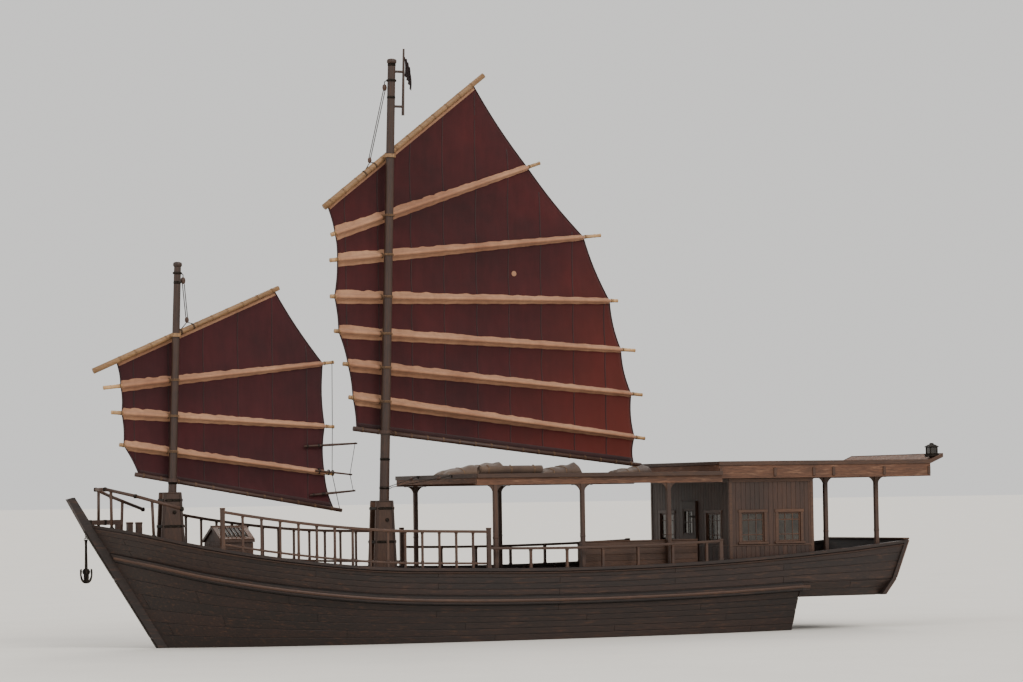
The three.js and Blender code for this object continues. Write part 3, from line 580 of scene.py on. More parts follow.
# Boards on the wale, which fairs into the gallery's side at its aft end.
WALE_FACE = ((0.060, -0.024), (0.056, -0.105), (0.052, -0.186))
WALE_END = -6.86
wale = Kit()
grid = [[on_frame(e, e.deck_y + dy, e.deck_z + dz) for dy, dz in WALE_FACE] for e in EDGES[2:]]
planked(wale, grid, 0.008, 9, 5)
for side in SIDES:
    rings = []
    for x, outer, lower in ((ROWS[0].x + 0.002, 0.069, 0.061), (WALE_END, 0.016, -0.058)):
        y, z = deck_y(x), edge_at(x, "deck", "_z")
        shape = ((-0.03, -0.005), (outer, -0.02), (lower, -0.195), (-0.10, -0.215))
        rings.append([(x, side * (y + dy), z + dz) for dy, dz in shape])
    wale.rings(rings)
wale.make("wale_planking", "hull", "hull_wood")

# Rubbing strakes on the wale and along the sheer.
on_wale = [(WALE_END, EDGES[1].deck_y + 0.08, EDGES[2].deck_z - 0.105)]
on_wale += [on_frame(e, e.deck_y + 0.062, e.deck_z - 0.105) for e in EDGES[2:]]
on_sheer = [on_frame(e, e.sheer_y + 0.012, e.sheer_z - 0.10) for e in EDGES]
strakes = Kit()
for side in SIDES:
    for line, half in ((on_wale, 0.0375), (on_sheer, 0.02)):
        shape = [(-0.01, half), (0.022, half - 0.01), (0.03, 0), (0.022, 0.01 - half), (-0.01, -half)]
        strakes.moulding(line, shape, side)
strakes.make("rubbing_strakes", "beam", "hull_wood")

# Stanchions inside the bulwarks.
RIB_INSET = 0.09
ribs = Kit()
for k in range(21):
    x = -9.0 + k * 0.82
    for side in SIDES:
        foot = (x, side * (deck_y(x) - RIB_INSET), deck_z(x))
        head = (x, side * (sheer_y(x) - RIB_INSET), sheer_z(x) - 0.062)
        ribs.beam(foot, head, 0.07, 0.06, AHEAD)
ribs.make("bulwark_stanchions", "hull_up", "hull_wood")

# Deck boards with a dark seam between them.
BOARD_WIDE = 0.155
HALF_LANES = int(2.4 / BOARD_WIDE) + 1
BULWARK_FOOT = 0.085
NARROWEST = 0.015
STOCK_X, STOCK_ALONG, STOCK_ACROSS = -7.3, 0.12, 0.10
BOARD_STEPS = 26
xs = [e.deck_x for e in EDGES]
fine = sorted({round(lerp(a, b, t), 4) for a, b in zip(xs, xs[1:]) for t in shares(3)})


def deck_runs(low, high):
    """Stretches of a lane of the deck where a board fits, clear of the bulwarks and the rudder's stock."""
    run = []
    for x in fine:
        half = deck_y(x) - BULWARK_FOOT
        a, b = max(low, -half), min(high, half)
        at_stock = abs(x - STOCK_X) < STOCK_ALONG and a < STOCK_ACROSS and b > -STOCK_ACROSS
        if b - a > NARROWEST and not at_stock:
            run.append((x, a, b))
        else:
            yield run
            run = []
    yield run


boards = Kit()
for lane in range(-HALF_LANES, HALF_LANES + 1):
    for run in deck_runs((lane - 0.5) * BOARD_WIDE + 0.003, (lane + 0.5) * BOARD_WIDE - 0.003):
        cuts = sorted({0, max(0, len(run) - 1), *range(7 + lane * 5 % 13, len(run) - 2, BOARD_STEPS)})
        for i, j in zip(cuts, cuts[1:]):
            upper = [Vector((x, b, deck_z(x))) for x, a, b in run[i:j + 1]]
            lower = [Vector((x, a, deck_z(x))) for x, a, b in run[i:j + 1]]
            upper[0].x += SEAM
            lower[0].x += SEAM
            boards.plank(upper, lower, [UP] * len(upper), 0.003, 0.002, 0.002)
boards.make("deck_planking", "deck", "deck_wood")


# Sails

Mast = namedtuple("Mast", "body foot head foot_r head_r cloth_y")
MASTS = {
    "main": Mast("main_rig", (3.06, 1.04), (2.66, 13.23), 0.120, 0.090, -0.250),
    "fore": Mast("fore_rig", (8.12, 1.70), (7.88, 8.50), 0.100, 0.078, -0.215),
}
# Each spar: ends of the cloth's edge at luff and leech, how far it runs past each, radius at the luff.
Spar = namedtuple("Spar", "node luff leech past_luff past_leech radius")
SPARS = {
    "main": [
        Spar("main_yard", (4.19, 9.90), (0.53, 12.77), 0.13, 0.33, 0.070),
        Spar("main_batten_1", (4.00, 9.24), (-0.84, 10.87), 0.13, 0.33, 0.046),
        Spar("main_batten_2", (3.95, 8.64), (-2.27, 9.27), 0.21, 0.44, 0.046),
        Spar("main_batten_3", (4.03, 7.80), (-2.93, 7.78), 0.13, 0.20, 0.046),
        Spar("main_batten_4", (3.94, 7.01), (-3.21, 6.63), 0.13, 0.36, 0.046),
        Spar("main_batten_5", (3.72, 6.26), (-3.46, 5.59), 0.15, 0.28, 0.046),
        Spar("main_batten_6", (3.61, 5.50), (-3.53, 4.57), 0.13, 0.26, 0.046),
        Spar("main_boom", (3.53, 4.79), (-3.51, 3.93), 0.11, 0.16, 0.055),
    ],
    "fore": [
        Spar("fore_yard", (9.25, 6.33), (5.53, 7.93), 0.60, 0.11, 0.062),
        Spar("fore_batten_1", (9.15, 5.77), (4.37, 6.28), 0.42, 0.26, 0.042),
        Spar("fore_batten_2", (9.13, 5.17), (4.34, 4.86), 0.26, 0.22, 0.042),
        Spar("fore_batten_3", (9.09, 4.46), (4.36, 3.81), 0.12, 0.22, 0.042),
        Spar("fore_boom", (8.74, 3.80), (4.14, 2.99), 0.12, 0.18, 0.048),
    ],
}
SPAR_TAPER = 0.85
# How far the flats of a spar lie from its axis, as a share of its radius, and the gap to the cloth.
SPAR_FLAT, SPAR_GAP = 0.924, 0.0003
BELLY = {"main": 0.085, "fore": 0.065}
# Share of the sail's width where its edges draw in between the spars, and how far they do.
EDGE_SHARE, EDGE_DRAW = 0.12, 0.035
CREASE = 0.011
# Half width of a batten's sleeve at luff and leech, and the places drawn across it: shares of that half
# width, and multiples of the batten's radius.
SLEEVE = {"main": (0.165, 0.075), "fore": (0.135, 0.065)}
SLEEVE_HEM = (1.0, 0.82, 0.62)
SLEEVE_WRAP = (1.75, 1.45, 1.2, 1.0, 0.8, 0.55, 0.28)
ACROSS, DOWN = 72, 12


def mast_at(rig, z):
    """Centre and radius of a mast at a height."""
    m = MASTS[rig]
    t = (z - m.foot[1]) / (m.head[1] - m.foot[1])
    return Vector((lerp(m.foot[0], m.head[0], t), 0, z)), lerp(m.foot_r, m.head_r, t)


def mast_axis(rig):
    return (mast_at(rig, 9.0)[0] - mast_at(rig, 3.0)[0]).normalized()


def on_spar(spar, s):
    """x and z of the cloth's edge on a spar, s of the way from luff to leech."""
    return Vector([lerp(a, b, s) for a, b in zip(spar.luff, spar.leech)])


def share_at(spar, x):
    """How far from luff to leech a spar reaches x."""
    return (spar.luff[0] - x) / (spar.luff[0] - spar.leech[0])


def spar_r(spar, s):
    return lerp(spar.radius, spar.radius * SPAR_TAPER, s)


def spar_y(rig, spar, s):
    return MASTS[rig].cloth_y + SPAR_GAP + spar_r(spar, min(1, max(0, s))) * SPAR_FLAT


def spar_point(rig, spar, s, past=0.0):
    """Centre of a spar, and a direction along it towards the leech."""
    a, b = (Vector((x, 0, z)) for x, z in (spar.luff, spar.leech))
    run = (b - a).normalized()
    p = a.lerp(b, s) + run * past
    p.y = spar_y(rig, spar, s)
    return p, run


def down_sail(rig, n):
    """The panels of a sail with n steps down each, from the yard to the boom."""
    return [(panel, t) for panel in range(len(SPARS[rig]) - 1) for t in shares(n)[min(1, panel):]]


def cloth_at(rig, panel, s, t):
    """A point of the sail: s runs from luff to leech, and t from the panel's upper spar to its lower one."""
    upper, lower = SPARS[rig][panel:panel + 2]
    p = on_spar(upper, s).lerp(on_spar(lower, s), t)
    hollow = EDGE_DRAW * math.sin(math.pi * t)
    edge = max(0.0, 1 - s / EDGE_SHARE) ** 2 - max(0.0, 1 - (1 - s) / EDGE_SHARE) ** 2
    p.x -= edge * hollow
    arch = max(0.0, math.sin(math.pi * t)) ** 0.85
    full = BELLY[rig] * (0.45 + 0.55 * math.sin(math.pi * min(1, s * 1.1)) ** 0.6) * arch
    run = (upper.luff[0] - upper.leech[0]) * s
    fold = math.sin(run * 9.5 + panel * 1.7 + t * 2.2) * 0.5 + math.sin(run * 17.0 - t * 3.1 + panel) * 0.3
    crease = CREASE * fold * arch * (0.4 + 0.6 * t)
    return Vector((p.x, MASTS[rig].cloth_y - 0.007 - full + crease, p.y))


def share_down(rig, panel, x, t):
    """How far from luff to leech the sail reaches x, t of the way down a panel."""
    upper, lower = SPARS[rig][panel:panel + 2]
    luff, leech = (lerp(a[0], b[0], t) for a, b in ((upper.luff, lower.luff), (upper.leech, lower.leech)))
    return (luff - x) / (luff - leech)


def near_spar(rig, index, s, v):
    """Where the cloth is at a distance v above a spar."""
    spars = SPARS[rig]
    above = index == len(spars) - 1 or (v >= 0 and index > 0)
    panel = index - 1 if above else index
    t = v / (on_spar(spars[panel], s) - on_spar(spars[panel + 1], s)).length
    return cloth_at(rig, panel, s, 1 - t if above else -t)


def sleeve(kit, rig, index, at_luff, at_leech):
    """A strip of cloth sewn to the sail that wraps a spar."""
    spar, face = SPARS[rig][index], MASTS[rig].cloth_y
    rings = []
    for k, s in enumerate(shares(48)):
        r = spar_r(spar, s)
        half = lerp(at_luff, at_leech, s) + 0.006 * math.sin(k * 1.9 + index)
        drawn = [half * f for f in SLEEVE_HEM] + [r * f for f in SLEEVE_WRAP]
        drawn = sorted({round(v, 5) for v in drawn if v <= half}, reverse=True)
        ring = []
        for v in [v for v in drawn if v <= half] + [0.0] + [-v for v in reversed(drawn)]:
            p = near_spar(rig, index, s, v)
            bulge = face + (2 * r + 0.008) * math.exp(-(v / (1.2 * r)) ** 4)
            wrinkle = 0.0022 * math.sin(k * 2.3 + v * 31 + index)
            ring.append((p.x, max(p.y + 0.006, bulge if abs(v) < 1.9 * r else -9) + wrinkle, p.z))
        for v in (-half, -half * 0.5, 0.0, half * 0.5, half):
            p = near_spar(rig, index, s, v)
            ring.append((p.x, min(p.y, face - 0.007) - 0.006, p.z))
        rings.append(ring)
    # Rings with a point to spare lose the one below their upper edge.
    n = min(len(r) for r in rings)
    kit.rings([r if len(r) == n else r[:1] + r[1 + len(r) - n:] for r in rings])


cloths = {}


def sewn(kit, rig, name, mat):
    """Makes a piece that is sewn or tied to a sail."""
    cloths[rig].append(kit.make(f"{rig}_{name}", mat, "sail_cloth", MASTS[rig].body, True))


for rig, spars in SPARS.items():
    grid = [[cloth_at(rig, panel, s, t) for s in shares(ACROSS)] for panel, t in down_sail(rig, DOWN)]
    cloth = thin_sheet(rig + "_sail_cloth", grid, rig + "_sail", "sail_cloth", MASTS[rig].body)
    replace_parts(cloth, rig + "_sail")
    cloths[rig] = [cloth]
    sleeves, hems = Kit(), Kit()
    for index in range(1, len(spars) - 1):
        sleeve(sleeves, rig, index, *SLEEVE[rig])
    for s in (0.0, 1.0):
        hems.tube([cloth_at(rig, panel, s, t) for panel, t in down_sail(rig, 8)], 0.016)
    # The sleeves' pale colour is a painted glow of sun through the cloth.
    sewn(sleeves, rig, "batten_sleeves", "sleeve")
    sewn(hems, rig, "boltropes", "hem")


# Cabin

WALL_TOP = 3.556
WALL_BOARD = 0.13
FRONT_X, BACK_X, SIDE_Y = -4.85, -7.05, 1.95
WINDOW_LOW, WINDOW_HIGH = 2.08, 2.76


def spans(u0, u1, step, holes):
    """Board edges from u0 to u1, with an edge at each side of each hole."""
    fixed = sorted({u0, u1, *(u for h in holes for u in h[:2] if u0 < u < u1)})
    out = []
    for a, b in zip(fixed, fixed[1:]):
        out += cells(a, b, max(1, round((b - a) / step)))
    return out


def wall_place(axis, at, way):
    """A wall whose face, at a place on an axis, looks along that axis (way 1) or against it (way -1)."""

    def place(u, z, out):
        """A point u along the wall, z up, and out from its face."""
        return Vector((u, at + way * out, z) if axis else (at + way * out, u, z))

    return place


def board_wall(kit, place, u0, u1, foot, holes):
    """Upright boards on a wall, from a foot or from the deck. Holes are (u0, u1, z0, z1)."""
    n = (place(0, 0, 1) - place(0, 0, 0)).normalized()
    for a, b in spans(u0, u1, WALL_BOARD, holes):
        mid = (a + b) / 2
        cuts = [(foot or deck_z(mid) + 0.004, WALL_TOP)]
        for h in holes:
            if h[0] < mid < h[1]:
                cuts = ([(low, min(high, h[2])) for low, high in cuts]
                        + [(max(low, h[3]), high) for low, high in cuts])
        for cut in cuts:
            if cut[1] - cut[0] > 0.02:
                kit.slat(*([place(u, z, 0) for z in cut] for u in (b - 0.002, a + 0.002)), n, 0.009)


def casing(kit, place, hole):
    """Boards around a window, with a deeper sill."""
    a, b, low, high = hole
    wide, thick = 0.07, 0.022
    for u0, u1, z0, z1, out in (
        (a - wide, a, low, high, thick), (b, b + wide, low, high, thick),
        (a - wide - 0.02, b + wide + 0.02, high, high + wide, thick + 0.006),
        (a - wide - 0.03, b + wide + 0.03, low - 0.05, low, thick + 0.03),
    ):
        kit.box(place(u0, z0, -0.001), place(u1, z1, out), 0.005)


def lattice(bars, panes, place, hole):
    """A mottled pane behind crossed bars, set in the thickness of a wall, dark with painted shade."""
    a, b, low, high = hole
    edge, bar = 0.035, 0.011

    def block(kit, u0, u1, z0, z1, back, front, cut):
        kit.box(place(u0, z0, -0.03 - back), place(u1, z1, -0.03 + front), cut)

    block(panes, a - 0.002, b + 0.002, low - 0.002, high + 0.002, 0.004, 0.002, 0.001)
    for u0, u1, z0, z1 in ((a, a + edge, low, high), (b - edge, b, low, high),
                           (a + edge, b - edge, low, low + edge), (a + edge, b - edge, high - edge, high)):
        block(bars, u0 - 0.001, u1 + 0.001, z0 - 0.001, z1 + 0.001, 0.016, 0.016, 0.004)
    for k in (1, 2):
        u = a + k * (b - a) / 3
        block(bars, u - bar, u + bar, low, high, 0.011, 0.013, 0.003)
    for k in (1, 3):
        z = low + k * (high - low) / 4
        block(bars, a, b, z - bar, z + bar, 0.010, 0.012, 0.003)


walls, trims, bars, panes = Kit(), Kit(), Kit(), Kit()
for axis, at, way, u0, u1, foot, doors, centres, half in (
    (0, FRONT_X, 1, -1.945, 1.945, 1.125, [(-0.40, 0.44, 1.0, 3.075)], (-1.16, 1.16), 0.34),
    (0, BACK_X, -1, -1.945, 1.945, 1.189, [(0.65, 1.49, 1.0, 3.075)], (-1.16, -0.08), 0.34),
    (1, SIDE_Y, 1, -7.045, -4.855, None, [], (-6.42, -5.45), 0.30),
    (1, -SIDE_Y, -1, -7.045, -4.855, None, [], (-6.42, -5.45), 0.30),
):
    place = wall_place(axis, at, way)
    windows = [(u - half, u + half, WINDOW_LOW, WINDOW_HIGH) for u in centres]
    board_wall(walls, place, u0, u1, foot, doors + windows)
    for hole in windows:
        casing(trims, place, hole)
        lattice(bars, panes, place, hole)
    # A rail at the sill's height and one under the roof.
    for low, high in ((1.985, 2.025), (3.47, 3.55)):
        crossed = [h for h in doors if h[3] > high]
        for a, b in spans(u0, u1, 9.0, crossed):
            if not any(h[0] < (a + b) / 2 < h[1] for h in crossed):
                trims.box(place(a, low, 0.0), place(b, high, 0.02), 0.005)
for x, sx in ((FRONT_X, 1), (BACK_X, -1)):
    for sy in SIDES:
        y = sy * SIDE_Y
        trims.box((x - sx * 0.06, y - sy * 0.06, 1.19), (x + sx * 0.0225, y + sy * 0.0225, 3.555), 0.008)
walls.make("cabin_boards", "upright", "timber")
trims.make("cabin_trim", "trim", "timber")
bars.make("window_lattice", "trim", "timber")
panes.make("window_panes", "glass", "timber")


def door(body, inner, out, y0, foot):
    """Frame, boards, hinges, ring and pane on a door leaf. inner is the x of its inner face."""
    outer = inner + out * 0.045

    def slab(kit, y_a, y_b, z_a, z_b, start, thick, cut=0.004):
        kit.box((outer - out * start, y0 + y_a, z_a), (outer + out * thick, y0 + y_b, z_b), cut)

    leaf, metalwork, pane = Kit(), Kit(), Kit()
    for a, b in ((-0.368, -0.262), (0.262, 0.368)):
        slab(leaf, a, b, foot + 0.004, 3.046, 0.002, 0.010)
    for a, b in ((foot + 0.006, foot + 0.19), (2.15, 2.26), (2.86, 3.044)):
        slab(leaf, -0.262, 0.262, a, b, 0.002, 0.010)
    for k in range(4):
        slab(leaf, -0.258 + k * 0.13, -0.132 + k * 0.13, foot + 0.192, 2.148, 0.002, 0.004)
    for a, b, c, d in ((-0.225, -0.2, 2.275, 2.825), (0.2, 0.225, 2.275, 2.825),
                       (-0.2, 0.2, 2.275, 2.3), (-0.2, 0.2, 2.8, 2.825),
                       (-0.012, 0.012, 2.3, 2.8), (-0.2, 0.2, 2.54, 2.56)):
        slab(leaf, a, b, c, d, 0.012, 0.008)
    slab(pane, -0.202, 0.202, 2.298, 2.802, 0.028, -0.022, 0.001)
    for z in (foot + 0.28, 2.68):
        slab(metalwork, 0.05, 0.36, z - 0.022, z + 0.022, -0.009, 0.014)
        metalwork.lathe((outer - out * 0.002, y0 + 0.354, z - 0.045), UP,
                        [(0, 0.010), (0.004, 0.013), (0.086, 0.013), (0.09, 0.010)], 12)
        for y in (0.10, 0.20, 0.30):
            nail = [(0, 0.009), (0.004, 0.008), (0.007, 0.004)]
            metalwork.lathe((outer + out * 0.013, y0 + y, z), AHEAD * out, nail, 8)
    slab(metalwork, -0.345, -0.285, 2.0, 2.1, -0.009, 0.013)
    metalwork.hoop((outer + out * 0.026, y0 - 0.315, 2.02), (1, 0.0, 0.35), 0.034, 0.010, 16, 6)
    leaf.make(body + "_boards", "upright", "timber", body)
    metalwork.make(body + "_ironwork", "iron", "iron", body, True)
    pane.make(body + "_pane", "glass", "timber", body)


door("front_door", -4.8497, 1, 0.0, 1.130)
door("back_door", -7.0503, -1, 1.05, 1.196)


# Roof deck and canopy

ROOF_HALF, ROOF_LANES = 2.095, 30
ROOF_TOP = 3.93
slope = Vector((0.145, 0, 0.33)).normalized()
roof = Kit()
for k, (y0, y1) in enumerate(cells(-ROOF_HALF, ROOF_HALF, ROOF_LANES)):
    rims = (y1 - 0.003, y0 + 0.003)
    butts = [-4.504, *(x - (k * 7 % 5) * 0.2 for x in (-5.6, -7.5, -9.2))]
    for x0, x1 in zip(butts, butts[1:]):
        roof.slat(*([(x0 - 0.003, y, ROOF_TOP), (x1 + 0.003, y, ROOF_TOP)] for y in rims), UP)
    last = ((butts[-1] - 0.003, ROOF_TOP), (-10.21, ROOF_TOP), (-10.536, 4.078))
    ways = [UP, (UP + slope).normalized(), slope]
    roof.plank(*([Vector((x, y, z)) for x, z in last] for y in rims), ways, 0.010, 0.002, 0.004)
roof.make("roof_planking", "roof", "roof_wood")

edges = Kit()
for side in SIDES:
    line = ((-4.502, 3.855), (-10.20, 3.855), (-10.556, 4.003))
    rows = ([Vector((x, side * 2.101, z + rise)) for x, z in line] for rise in (0.10, 0))
    edges.plank(*rows, [PORT * side] * 3, 0.023, 0.003, 0.008)
    for x in (-5.98, -7.02, -7.55, -8.93, -10.165, -4.545):
        edges.box((x - 0.036, side * 2.05, 3.60), (x + 0.036, side * 2.13, 3.80), 0.010)
    edges.box((-4.498, side * 2.28, 3.632), (1.712, side * 2.316, 3.728), 0.008)
edges.box((1.700, -2.30, 3.632), (1.728, 2.30, 3.728), 0.008)
edges.box((-4.518, -2.095, 3.868), (-4.482, 2.095, 3.952), 0.008)
edges.box((-10.558, -2.120, 4.001), (-10.528, 2.120, 4.100), 0.008)
edges.make("roof_edges", "beam", "roof_wood")

SLATS = 41
slats = Kit()
for x0, x1 in cells(-4.475, 1.695, SLATS):
    slats.slat(*([(x, y, 3.71) for y in (-2.28, 2.28)] for x in (x1 - 0.004, x0 + 0.004)), UP)
slats.make("canopy_slats", "roof_cross", "roof_wood")

# Boards under both roofs, between the beams.
BEAM_HALF = 0.045
LINING_WIDE = 0.148
lining = Kit()
for beams, z, half in (((-4.4537, -3.11, -0.92, 1.25, 1.665), 3.64, 2.173),
                       ((-10.165, -8.93, -7.55, -7.02, -5.98, -4.545), 3.86, 2.008)):
    for x0, x1 in zip(beams, beams[1:]):
        ends = (x0 + BEAM_HALF + 0.002, x1 - BEAM_HALF - 0.002)
        for y0, y1 in cells(-half, half, round(2 * half / LINING_WIDE)):
            lining.slat([(x, y0 + 0.003, z) for x in ends], [(x, y1 - 0.003, z) for x in ends], -UP)
lining.make("roof_lining", "roof", "roof_wood")

# Knees at the posts' heads, and blocks around their feet. Each knee's curve is given by its distance from the
# post's axis and its drop, with the distance of the upper edge.
curve = [(0.275, 0.012, 0.275)]
for k in range(1, 6):
    a = math.pi / 12 * k
    curve.append((0.245 - 0.20 * math.sin(a), 0.20 * (1 - math.cos(a)), 0.28 - 0.235 * k / 6))
curve.append((0.045, 0.235, 0.045))
posts = [(x, s * 2.22, 3.478) for x in (1.25, -0.92, -3.11) for s in SIDES]
posts += [(x, s * 1.70, 3.558) for x in (-7.55, -8.93) for s in SIDES]
knees = Kit()
for x, y, top in posts:
    for way in SIDES:
        knees.rings([[(x + way * p, y - 0.025, top - drop), (x + way * q, y - 0.025, top),
                      (x + way * q, y + 0.025, top), (x + way * p, y + 0.025, top - drop)]
                     for p, drop, q in curve])
    low = deck_z(x) + 0.003
    knees.pad(x, y, 0.062, low, low + 0.10, 0.014)
    knees.pad(x, y, 0.054, 2.28, 2.32, 0.010)
knees.make("post_knees", "beam", "timber")


# Rigging

def band(kit, rig, index, v0, v1):
    """A flat strip of cloth sewn on both faces of the sail, from v0 to v1 above a spar."""
    rings = []
    for t in shares(64):
        line = [near_spar(rig, index, lerp(0.004, 0.996, t), lerp(v0, v1, up)) for up in shares(2)]
        rings.append([p + PORT * 0.006 for p in line] + [p - PORT * 0.006 for p in reversed(line)])
    kit.rings(rings)


def seam(kit, rig, x):
    """The doubled edge where two upright cloths of a sail are sewn together."""
    rings = []
    for panel, t in down_sail(rig, 12):
        s = share_down(rig, panel, x, t)
        if 0.012 < s < 0.988:
            p = cloth_at(rig, panel, s, t)
            corners = ((-0.014, 0.0035), (0.014, 0.0035), (0.014, -0.0035), (-0.014, -0.0035))
            rings.append([p + AHEAD * dx + PORT * dy for dx, dy in corners])
    if len(rings) > 2:
        kit.rings(rings)


def pulley(kit, centre, length, way=UP, wide=0.5):
    """The wooden shell of a block."""
    profile = [(-0.5, 0.10), (-0.44, 0.22), (-0.3, 0.33), (0.0, 0.38), (0.3, 0.33), (0.44, 0.22), (0.5, 0.10)]
    kit.tube([centre + way * length * a for a, r in profile], [length * r for a, r in profile], 12, wide)


def turns(kit, rig, spar, s, shifts, clear, thick, n, m, lean=0.0):
    """Turns of rope round a spar, each shifted along it."""
    for shift in shifts:
        p, run = spar_point(rig, spar, s, shift)
        kit.hoop(p, run + UP * lean, spar_r(spar, s) + clear, thick, n, m)


def hoops(kit, places, *ring):
    for p in places:
        kit.hoop(p, *ring)


SEAMS = {"main": (3.75, 9), "fore": (8.85, 6)}
SEAM_STEP = 0.82
LASHING_STEP = 0.42
# Height of the masthead band, and where the halyard hangs ahead of the mast and meets the yard.
HALYARDS = {"main": (12.74, 0.15, 3.16), "fore": (8.26, -0.15, 7.62)}

for rig, spars in SPARS.items():
    yard, *battens, boom = spars
    body = MASTS[rig].body
    axis = mast_axis(rig)
    head_tape, foot_tape, seams = Kit(), Kit(), Kit()
    # A pale strip just under the yard: painted light, the line of light between the yard and the sail.
    band(head_tape, rig, 0, -yard.radius * 0.9, -yard.radius - 0.075)
    sewn(head_tape, rig, "head_tape", "sleeve")
    band(foot_tape, rig, len(spars) - 1, boom.radius * 0.9, boom.radius + 0.10)
    sewn(foot_tape, rig, "foot_tape", "hem")
    first_x, count = SEAMS[rig]
    for k in range(count):
        seam(seams, rig, first_x - SEAM_STEP * k)
    sewn(seams, rig, "sail_seams", "hem")

    # Lashings of the cloth to the yard and the boom, and at the ends of the battens.
    lashings = Kit()
    for spar in (yard, boom):
        for t in shares(round(math.dist(spar.luff, spar.leech) / LASHING_STEP)):
            turns(lashings, rig, spar, lerp(0.015, 0.985, t), (-0.012, 0.012), 0.004, 0.010, 14, 5, 0.06)
    for spar in battens:
        for s, past in ((0.0, -0.035), (1.0, 0.035)):
            turns(lashings, rig, spar, s, [past + d for d in (-0.011, 0, 0.011)], 0.003, 0.010, 14, 5)

    # The bare ends of each batten, with the swellings where its cane is jointed.
    joints = Kit()
    for spar in battens:
        for s, low, high in ((0.0, -spar.past_luff, -0.07), (1.0, 0.07, spar.past_leech)):
            for place in (low, low + 0.16 if s == 0 else high - 0.15, high):
                p, run = spar_point(rig, spar, s, max(low + 0.012, min(high - 0.012, place)))
                r = spar_r(spar, s) * 0.97
                swelling = [(-0.016, r - 0.004), (-0.006, r + 0.006), (0.006, r + 0.006), (0.016, r - 0.004)]
                joints.lathe(p, run, swelling, 14)
        for s, low, high in ((0.0, -spar.past_luff - 0.001, -0.012), (1.0, 0.012, spar.past_leech + 0.001)):
            ends = [spar_point(rig, spar, s, past)[0] for past in (low, high)]
            joints.tube(ends, spar_r(spar, s) + 0.001, 16)
    joints.make(rig + "_cane_joints", "spar", "spar_wood", body, True)

    # Round poles of the yard and the boom, the yard with the joints of a cane.
    for spar, look, pitch in ((yard, "yard", 0.46), (boom, "boom", 0)):
        length = math.dist(spar.luff, spar.leech)
        knots = [k * pitch + 0.11 * math.sin(k * 2.3) for k in range(1, int(length / pitch))] if pitch else []
        stops = {-spar.past_luff - 0.002, length + spar.past_leech + 0.002}
        line, radii = [], []
        for past in sorted({*stops, *(knot + d for knot in knots for d in (-0.02, -0.006, 0.006, 0.02))}):
            p, s = spar_point(rig, spar, 0.0, past)[0], min(1, max(0, past / length))
            p.y = spar_y(rig, spar, s)
            line.append(p)
            swollen = any(abs(past - knot) < 0.01 for knot in knots)
            radii.append(spar_r(spar, s) + (0.006 if swollen else 0.002))
        pole = Kit()
        pole.tube(line, radii, 18)
        pole.make(f"{rig}_{look}_pole", look, "spar_wood", body, True)

    # Parrels hold the battens to the mast and turn round it.
    for spar in battens:
        s = share_at(spar, mast_at(rig, spar.luff[1])[0].x)
        s = share_at(spar, mast_at(rig, on_spar(spar, s).y)[0].x)
        centre, radius = mast_at(rig, on_spar(spar, s).y)
        for lift in (-0.014, 0.014):
            lashings.hoop(centre + axis * lift, axis, radius + 0.018, 0.020, 22, 6)
        for shift in (-0.075, 0.075):
            turns(lashings, rig, spar, s, (shift - 0.010, shift + 0.010), 0.014, 0.014, 16, 6)
            p = spar_point(rig, spar, s, shift)[0]
            side = Vector((centre.x + shift * 0.9, -radius - 0.006, centre.z))
            end = p + PORT * (spar_r(spar, s) + 0.004)
            lashings.tube([side, side.lerp(p, 0.5) + UP * 0.004, end], 0.010, 6)
    sewn(lashings, rig, "lashings", "rope")

    # Halyard from a band that turns on the masthead.
    swivel, hang, low_x = HALYARDS[rig]
    centre, radius = mast_at(rig, swivel)
    top = centre + Vector((hang, -0.05, -0.16))
    s = share_at(yard, low_x)
    bottom = spar_point(rig, yard, s)[0] + UP * (yard.radius + 0.14)
    irons, blocks, lines = Kit(), Kit(), Kit()
    irons.hoop(centre, axis, radius + 0.018, 0.020, 24, 6, 0.05)
    irons.tube([centre + Vector((math.copysign(radius + 0.02, hang), -0.01, 0)),
                centre + Vector((hang, -0.05, -0.03)), top + UP * 0.06], 0.011, 8)
    irons.make(rig + "_masthead_band", "iron", "iron", body, True)
    pulley(blocks, top, 0.15)
    pulley(blocks, bottom, 0.13)
    blocks.make(rig + "_halyard_blocks", "timber", "timber", body, True)
    for way in (-1, 1):
        lines.tube([top + Vector((0.022 * way, 0, -0.03)), bottom + Vector((0.02 * way, 0, 0.03))], 0.010, 6)
    for way in (-1, 1):
        p = spar_point(rig, yard, s, 0.16 * way)[0]
        lines.tube([bottom - UP * 0.05, p + Vector((0, 0.01, spar_r(yard, s) * 0.9))], 0.010, 6)
        turns(lines, rig, yard, s, (0.16 * way - 0.012, 0.16 * way + 0.012), 0.005, 0.014, 16, 6)
    lines.make(rig + "_halyard", "tarred", "sail_cloth", body, True)

# Short bars that spread the leech of the fore sail, and the spans that join its battens.
THREE_TURNS = (-0.012, 0, 0.012)
bars, ties = Kit(), Kit()
y = MASTS["fore"].cloth_y + 0.03
tips = []
for z0, x0, x1, rise in ((4.47, 4.85, 3.56, 0.06), (3.40, 4.72, 3.62, 0.09)):
    line = [(x0, y, z0 - rise), (lerp(x0, x1, 0.5), y, z0 - rise / 2), (x1, y, z0)]
    bars.tube(line, [0.024, 0.030, 0.022], 10)
    for x in (x0 - 0.08, x0 - 0.35, 4.42):
        z = lerp(z0 - rise, z0, (x0 - x) / (x0 - x1))
        hoops(ties, [(x + turn, y, z) for turn in THREE_TURNS], (1, 0, -0.05), 0.032, 0.010, 14, 5)
    tips.append(Vector((x1 + 0.05, y, z0)))
end, run = spar_point("fore", SPARS["fore"][3], 1.0, 0.10)
line = [end - run * 0.35 + Vector((0, 0.055, 0.02)), end + run * 0.55 + Vector((0, 0.05, 0.04))]
bars.tube(line, [0.026, 0.020], 10)
